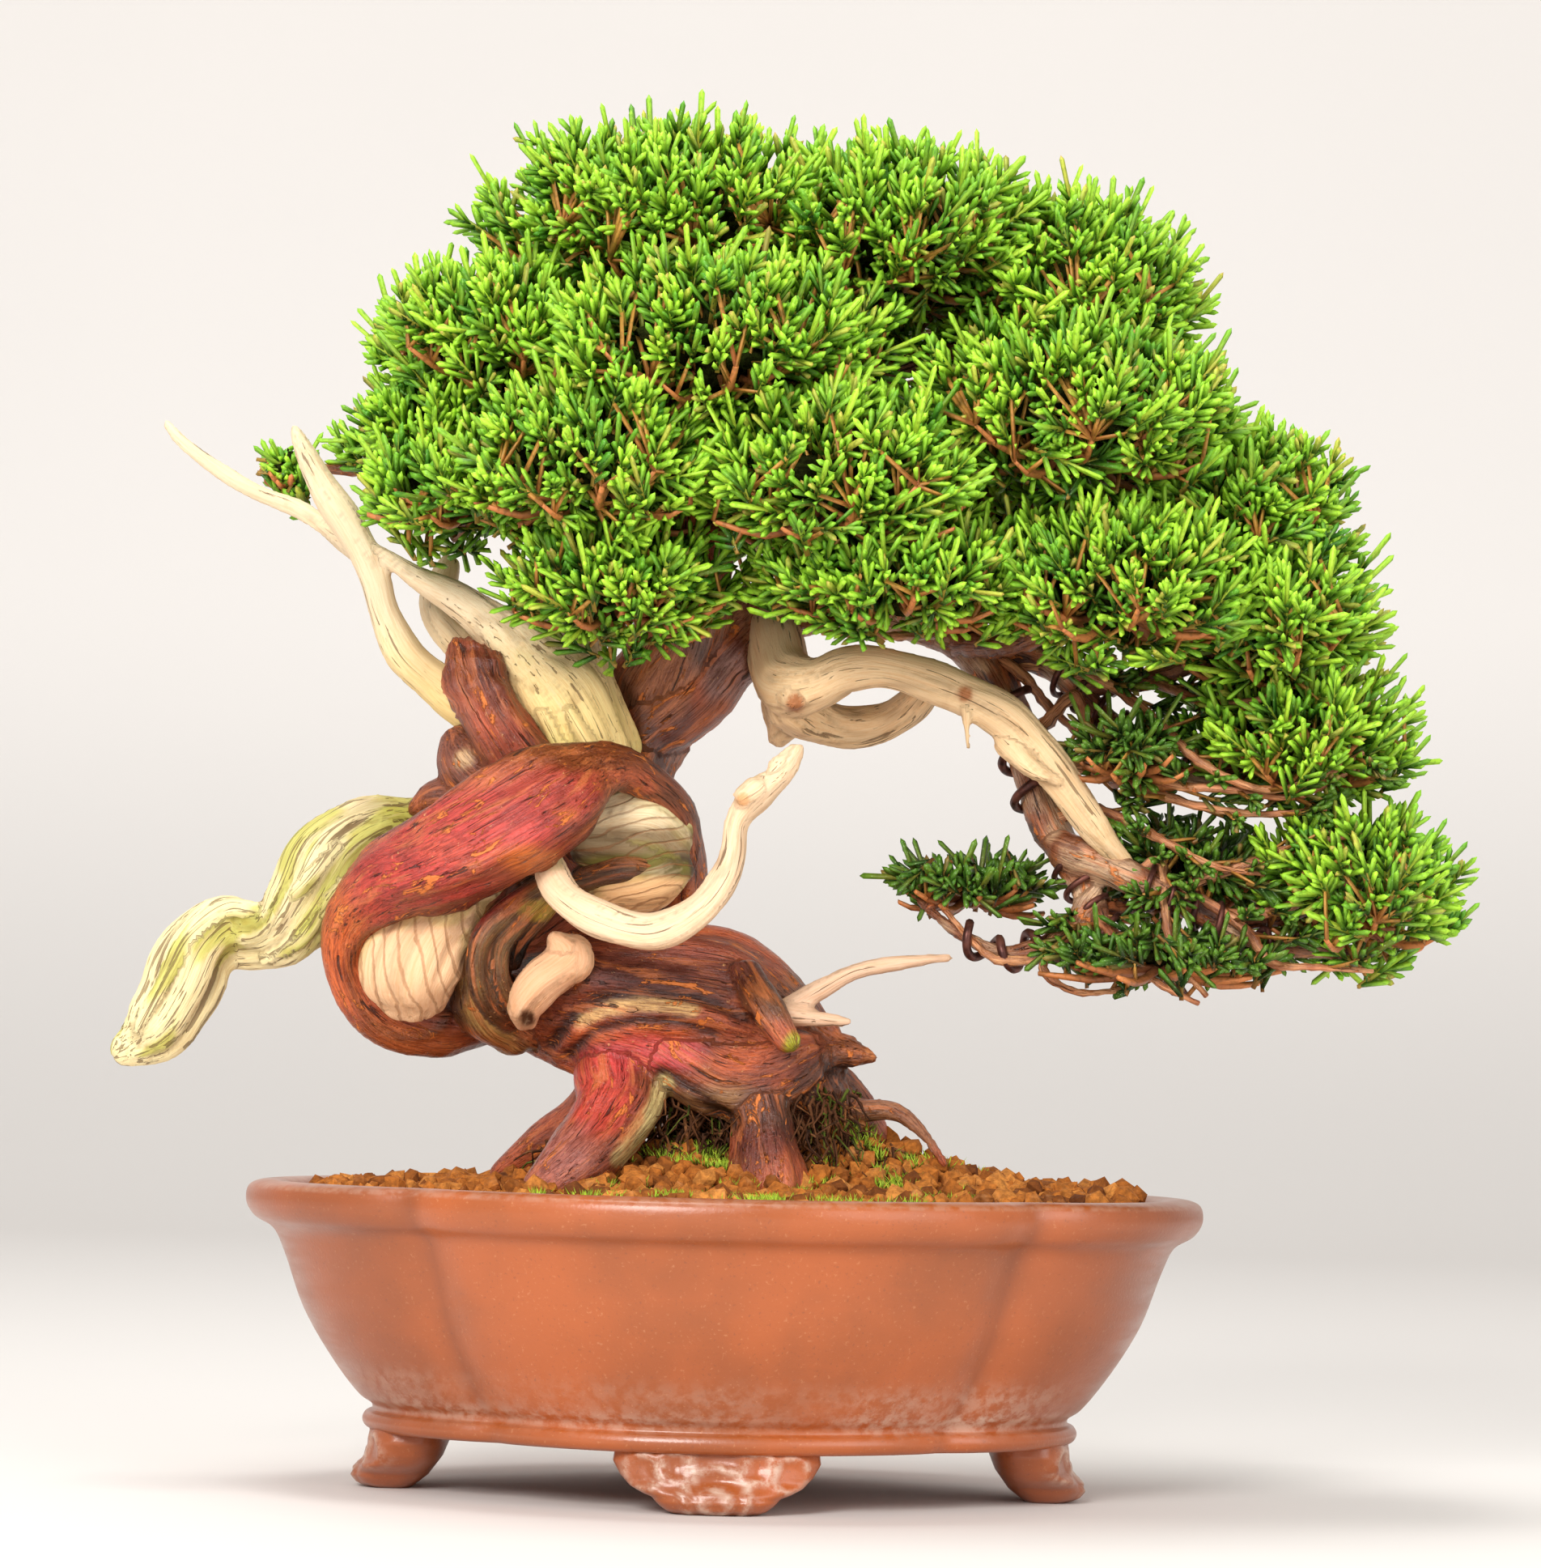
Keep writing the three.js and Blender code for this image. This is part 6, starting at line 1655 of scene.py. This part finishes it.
class BONSAI_OT_foliage(bpy.types.Operator):
    """Dress each pad with sprays of scale-leaved shoots on thin brown twigs"""

    bl_idname = "bonsai.foliage"
    bl_label = "Foliage"

    def execute(self, context):
        settings = context.scene.bonsai_foliage
        material, inner = foliage_finish(), pad_shade_finish()
        for index, name in enumerate(PADS):
            draws = np.random.default_rng(200 + index), np.random.default_rng(300 + index)
            self.pad(settings, name, *draws, material, inner)
        self.hanging(settings, material)
        return {"FINISHED"}

    def hanging(self, settings, material):
        """Side twigs to the left and right of the fine branches, each with a sparse shaded spray."""
        draw = np.random.default_rng(190)
        held, leave = [], []
        for points in FINE_BRANCHES:
            centre = follow([(*point, 1) for point in points], 7)["centre"]
            along = unit(np.gradient(centre, axis=0))[6:-1:3]
            beside = unit(np.cross(along, np.array([0.1, -0.5, 1.0])))
            hand = np.where(np.arange(len(along)) % 2 == 0, 1, -1)[:, None]
            held.append(centre[6:-1:3])
            leave.append(unit(along * 0.6 + beside * hand * 0.7 + draw.normal(0, 0.3, along.shape)))
        held, leave = np.concatenate(held), np.concatenate(leave)
        kept = (held[:, 0] > 58) & (held[:, 2] < 140) & ((held[:, 2] > 92) | (leave[:, 2] > 0.1))
        held, leave = held[kept], leave[kept]
        roots = held + leave * draw.uniform(2, 6, (len(held), 1))
        axes = unit(leave + np.array([0, 0, 0.15]) + draw.normal(0, 0.2, leave.shape))
        sizes = settings.spray_length / MM * draw.uniform(0.6, 0.95, len(roots))
        deep = np.zeros(len(roots), bool)
        # The hanging sprays take the tint of the shaded pads, a painted shade.
        self.dress("hanging_sprays", [self.shoots(settings, SHADED_PADS[0], roots, axes, sizes, deep, draw),
                                      self.stalks(roots, axes, held, draw)], material)

    def pad(self, settings, name, draw, crest_draw, material, inner):
        """One pad: its core, sprays, branchlets and stalks, and more sprays round its top."""
        middle, half, _, fullness = PADS[name]
        cell = pad_cell(name)
        roots, axes, sizes, depth = self.sprays(settings, half, cell, fullness, draw)
        crest = self.sprays(settings, half, cell, fullness, crest_draw, True)
        twigs, held = self.branchlets(half, cell, np.concatenate([roots, crest[0]]), draw)
        core = self.core(half, cell, fullness)
        parts = [core, self.shoots(settings, name, roots, axes, sizes, depth, draw),
                 twigs, self.stalks(roots, axes, held[:len(roots)], draw)]
        if len(crest[0]):
            parts += [self.shoots(settings, name, *crest, crest_draw),
                      self.stalks(*crest[:2], held[len(roots):], crest_draw)]
        core_faces = sum(len(block) for block in core[1])
        self.dress(name + "_sprays", parts, material, middle, (name,), (inner, core_faces))

    def dress(self, name, parts, material, middle=(0, 0, 0), replaced=(), inner=None):
        """A piece from parts of vertices, faces, tint and scales round a middle."""
        places, faces = merge_parts([part[:2] for part in parts])
        new_piece(name, places + np.array(middle), faces, material, replaced,
                  attributes={"scales": np.concatenate([part[3] for part in parts])},
                  colours={"tint": np.concatenate([part[2] for part in parts])}, inner=inner)

    def sprays(self, settings, half, cell, fullness, draw, crest=False):
        """Where the sprays stand on a pad and which way they point. Directions are spread by the golden
        angle. A spray's tip lies on the pad's surface or a layer below it, and it turns up to the light.
        A crest is some more round the top, where a flat pad spreads them thin."""
        a, b, c = half
        area = 4 * math.pi * math.sqrt(((a * b) ** 2 + (a * c) ** 2 + (b * c) ** 2) / 3)
        count = max(int(area * fullness / settings.spray_area), 30)
        if crest:
            count = int(a * b / 50) if fullness >= 0.8 else 0
        i = np.arange(count)
        height = 1 - (0.11 if crest else 2) * (i + 0.5) / count
        direction = directions(height, i * GOLDEN_ANGLE + draw.normal(0, 0.12, count))
        deep = (i % 3 == 0) & (not crest)
        reach = np.where(deep, draw.uniform(0.68, 0.84, count), draw.uniform(0.88, 1.0, count))
        tip, drawn = keep_in_cell(pad_surface(direction, half, reach), cell, 2.5)
        kept = (drawn > 0.62) & ((direction[:, 2] > -0.4) | (i % 2 == 0))
        direction, tip, deep = direction[kept], tip[kept], deep[kept]
        outward = unit(direction / np.array(half))
        lift = np.array([0, 0, 0.5 if fullness > 0.6 else 0.15])
        stray = draw.normal(0, 0.45 if crest else 0.22, outward.shape)
        axis = unit(outward * np.array([1, 1, 0.7]) + lift + stray)
        size = settings.spray_length / MM * draw.uniform(0.8, 1.2, len(tip))
        tip[:, 2] = np.minimum(tip[:, 2] + 1.0, half[2] - 2.5)
        return tip - axis * size[:, None], axis, size, deep

    def shoots(self, settings, name, roots, axes, sizes, deep, draw):
        """Each shoot is a three-sided tube from its root ring to a slightly wider shoulder and over a
        blunt point, all bent a little upwards."""
        count, per = len(roots), len(SPRAY_SHOOTS)
        helper = np.where(np.abs(axes[:, 2:]) > 0.9, np.array([[1.0, 0, 0]]), np.array([[0, 0, 1.0]]))
        across = unit(np.cross(axes, helper))
        beside = np.cross(axes, across)
        roll = draw.uniform(0, 2 * math.pi, count)[:, None]
        leave, long, lean, around = (SPRAY_SHOOTS[:, k][None] for k in range(4))
        lean = lean + draw.normal(0, 0.1, (count, per)) * (lean > 0)
        around = around + roll + draw.normal(0, 0.3, (count, per))
        long = long * draw.uniform(0.72, 1.15, (count, per)) * sizes[:, None]
        out = np.cos(around)[..., None] * across[:, None] + np.sin(around)[..., None] * beside[:, None]
        aim = unit(axes[:, None] * np.cos(lean)[..., None] + out * np.sin(lean)[..., None])
        start = roots[:, None] + axes[:, None] * (leave * sizes[:, None])[..., None]
        bend = (axes[:, None] + np.array([0, 0, 0.4])) * 0.13
        side = unit(np.cross(aim, out + 0.01))
        other = np.cross(aim, side)
        shares = np.stack([0 * long, 1 - SHOOT_CAP / long, 0 * long + 1], axis=-1)[..., None]
        curve = aim[:, :, None] * shares + bend[:, :, None] * shares ** 2
        spine = start[:, :, None] + curve * long[..., None, None]
        angle = np.arange(3) * 2 * math.pi / 3
        thick = draw.uniform(0.85, 1.15, (count, per))[..., None, None, None] * settings.shoot_radius / MM
        side, other = side[:, :, None, None], other[:, :, None, None]
        ring = side * np.cos(angle)[:, None] + other * np.sin(angle)[:, None]
        rings = spine[:, :, :2, None] + ring * SHOOT_WIDTHS[:, None, None] * thick
        places = np.concatenate([rings.reshape(count, per, 6, 3), spine[:, :, 2:]], axis=2).reshape(-1, 3)
        point = fan_faces(np.arange(3, 6), 6, False)
        faces = copied_faces(count * per, 7, grid_faces(2, 3), point, np.array([[2, 1, 0]]))
        along = np.array([0, 0, 0, 0.88, 0.88, 0.88, 1.0])
        tint = self.tint(settings, name, along, deep, draw, count, per)
        turn = np.concatenate([np.tile(angle, 2), [0.0]])
        phase = draw.uniform(0, 50, (count, per, 1))
        scale = np.stack([np.broadcast_to(np.cos(turn) * 1.5, (count, per, 7)),
                          np.broadcast_to(np.sin(turn) * 1.5, (count, per, 7)),
                          along[None, None] * long[..., None] * 1.6 + phase], axis=-1).reshape(-1, 3)
        return places, faces, tint, scale

    def tint(self, settings, name, along, deep, draw, count, per):
        """Dark green at the root of a shoot and yellow-green at its tip. Sprays set deeper inside the pad are
        darker, partly as older growth and partly as painted shade, and the shaded pads are darkened further
        as painted shade. The stem of a spray starts yellow-brown, and a few tips are browned."""
        grown, tip = np.array(settings.shoot_colour), np.array(settings.tip_colour)
        fresh = np.clip(draw.normal(0.72, 0.24, (count, 1, 1)) + draw.normal(0, 0.12, (count, per, 1)), 0, 1)
        # Painted shade, partly older growth: sprays set deep in the pad keep less of their fresh colour.
        fresh = fresh * np.where(deep[:, None, None], 0.3, 1.0)
        # Painted shade: the shaded pads keep far less of it.
        if name in SHADED_PADS:
            fresh = fresh * 0.2
        t = along[None, None] * np.ones((count, per, 1))
        colour = blend_colours(screen(30, 68, 24), grown, np.clip(t * 1.1 + fresh * 0.5 - 0.2, 0, 1))
        colour = blend_colours(colour, tip, np.clip(t * 1.3 - 0.3, 0, 1) * fresh)
        stem = (np.arange(per) == 0)[None, :, None] * np.clip(1 - t * 1.6, 0, 1)
        colour = paint(colour, stem * 0.75, 186, 138, 62)
        browned = (draw.random((count, per, 1)) < 0.08) * np.clip((t - 0.75) * 4, 0, 1)
        colour = paint(colour, browned * 0.8, 206, 140, 84)
        # Painted shade: the shaded pads are darkened as a whole.
        if name in SHADED_PADS:
            colour = colour * np.array([0.75, 0.6, 0.8])
        return colour.reshape(-1, 3)

    def branchlets(self, half, cell, roots, draw):
        """Arched four-sided twigs from the pad's middle out under its sprays. Each sags, then rises. Also
        returns, for each spray, the nearest place on a twig."""
        count, rows = 14, 6
        i = np.arange(count)
        direction = directions(0.35 - 0.75 * (i + 0.5) / count, i * GOLDEN_ANGLE + 0.6)
        reach, _ = keep_in_cell(pad_surface(direction, half, draw.uniform(0.66, 0.8, count)), cell, -1.0)
        share = np.linspace(0, 1, rows)[None, :, None]
        down = np.array([0, 0, -half[2]])
        spine = reach[:, None] * share + down * 0.3 * np.sin(math.pi * share * 0.85) + down * 0.12
        wander = smooth_noise(spine.reshape(-1, 3), 5, 17).reshape(count, rows, 1)
        spine = spine + wander * np.array([0.7, -0.7, 0.5])
        width = (1.1 - 0.65 * share)[..., None] * (1 + 0.2 * wander[..., None])
        places, faces = prisms(spine, unit(reach)[:, None], (0.1, 0.2, 1.0), 4, width)
        shade = np.clip(share + wander * 0.4, 0, 1) * np.ones((count, rows, 4))
        tint = paint(screen(116, 66, 44), shade.reshape(-1), 216, 134, 74)
        every = spine.reshape(-1, 3)
        gap = ((roots[:, None] - every[None]) ** 2).sum(-1)
        return (places, faces, tint, places * 1.2), every[gap.argmin(1)]

    def stalks(self, roots, axes, held, draw):
        """A thin three-sided twig from the branchlet below to each spray."""
        outer = roots + axes * 2.5
        spine = np.stack([held, outer], axis=1)
        width = np.array([0.48, 0.38])[:, None, None]
        places, faces = prisms(spine, unit(outer - held)[:, None], (0.3, 0.2, 1.0), 3, width)
        shade = draw.uniform(0, 1, (len(roots), 1)) * 0.4 + np.array([0, 0, 0, 0.6, 0.6, 0.6])
        tint = paint(screen(158, 88, 46), shade.reshape(-1), 214, 160, 70)
        return places, faces, tint, places * 1.3

    def core(self, half, cell, fullness):
        """The shaded inside of a pad: a smaller lumpy surface kept within its planes, a dark sheet of painted
        shade under the sprays.
        """
        rows, columns = 14, 24
        fall = np.linspace(0.04, math.pi - 0.04, rows)[:, None]
        turn = np.linspace(0, 2 * math.pi, columns, endpoint=False)[None]
        direction = np.stack([np.sin(fall) * np.cos(turn), np.sin(fall) * np.sin(turn),
                              np.cos(fall) * np.ones_like(turn)], axis=-1).reshape(-1, 3)
        rough = 1 + 0.5 * smooth_noise(direction, 0.24, 7) + 0.3 * smooth_noise(direction, 0.1, 9)
        rough = 0.38 * (0.4 + 0.6 * fullness) * rough
        places, _ = keep_in_cell(pad_surface(direction, half, rough), cell, -0.5)
        ends = [places[:columns].mean(0), places[-columns:].mean(0)]
        places, faces = closed_rings(places.reshape(rows, columns, 3), ends, turned=True)
        # Painted shade: dark olive mottled with dark brown.
        tint = paint(screen(52, 62, 24), 0.5 + 0.5 * smooth_noise(places, 2.2, 3), 38, 32, 18)
        return places, faces, tint, places * 1.2


class BONSAI_PT_maker(bpy.types.Panel):
    """Buttons for each part of the tree"""

    bl_label = "Juniper Bonsai"
    bl_idname = "BONSAI_PT_maker"
    bl_space_type = "VIEW_3D"
    bl_region_type = "UI"
    bl_category = "Bonsai"

    def draw(self, context):
        for operator in OPERATORS:
            self.layout.operator(operator.bl_idname)


SETTINGS = {
    "bonsai_stage": StageSettings,
    "bonsai_pot": PotSettings,
    "bonsai_soil": SoilSettings,
    "bonsai_wood": WoodSettings,
    "bonsai_foliage": FoliageSettings,
}
OPERATORS = (BONSAI_OT_stage, BONSAI_OT_pot, BONSAI_OT_soil, BONSAI_OT_live_wood, BONSAI_OT_root_fibres,
             BONSAI_OT_deadwood, BONSAI_OT_wires, BONSAI_OT_foliage)


def register():
    for group in SETTINGS.values():
        bpy.utils.register_class(group)
    for name, group in SETTINGS.items():
        setattr(bpy.types.Scene, name, PointerProperty(type=group))
    for operator in OPERATORS:
        bpy.utils.register_class(operator)
    bpy.utils.register_class(BONSAI_PT_maker)


def unregister():
    bpy.utils.unregister_class(BONSAI_PT_maker)
    for operator in reversed(OPERATORS):
        bpy.utils.unregister_class(operator)
    for name, group in SETTINGS.items():
        delattr(bpy.types.Scene, name)
        bpy.utils.unregister_class(group)


def main():
    register()
    bpy.ops.bonsai.stage()
    bpy.ops.bonsai.pot()
    bpy.ops.bonsai.soil()
    bpy.ops.bonsai.live_wood()
    bpy.ops.bonsai.root_fibres()
    bpy.ops.bonsai.deadwood()
    bpy.ops.bonsai.wires()
    bpy.ops.bonsai.foliage()
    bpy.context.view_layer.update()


if __name__ == "__main__":
    main()
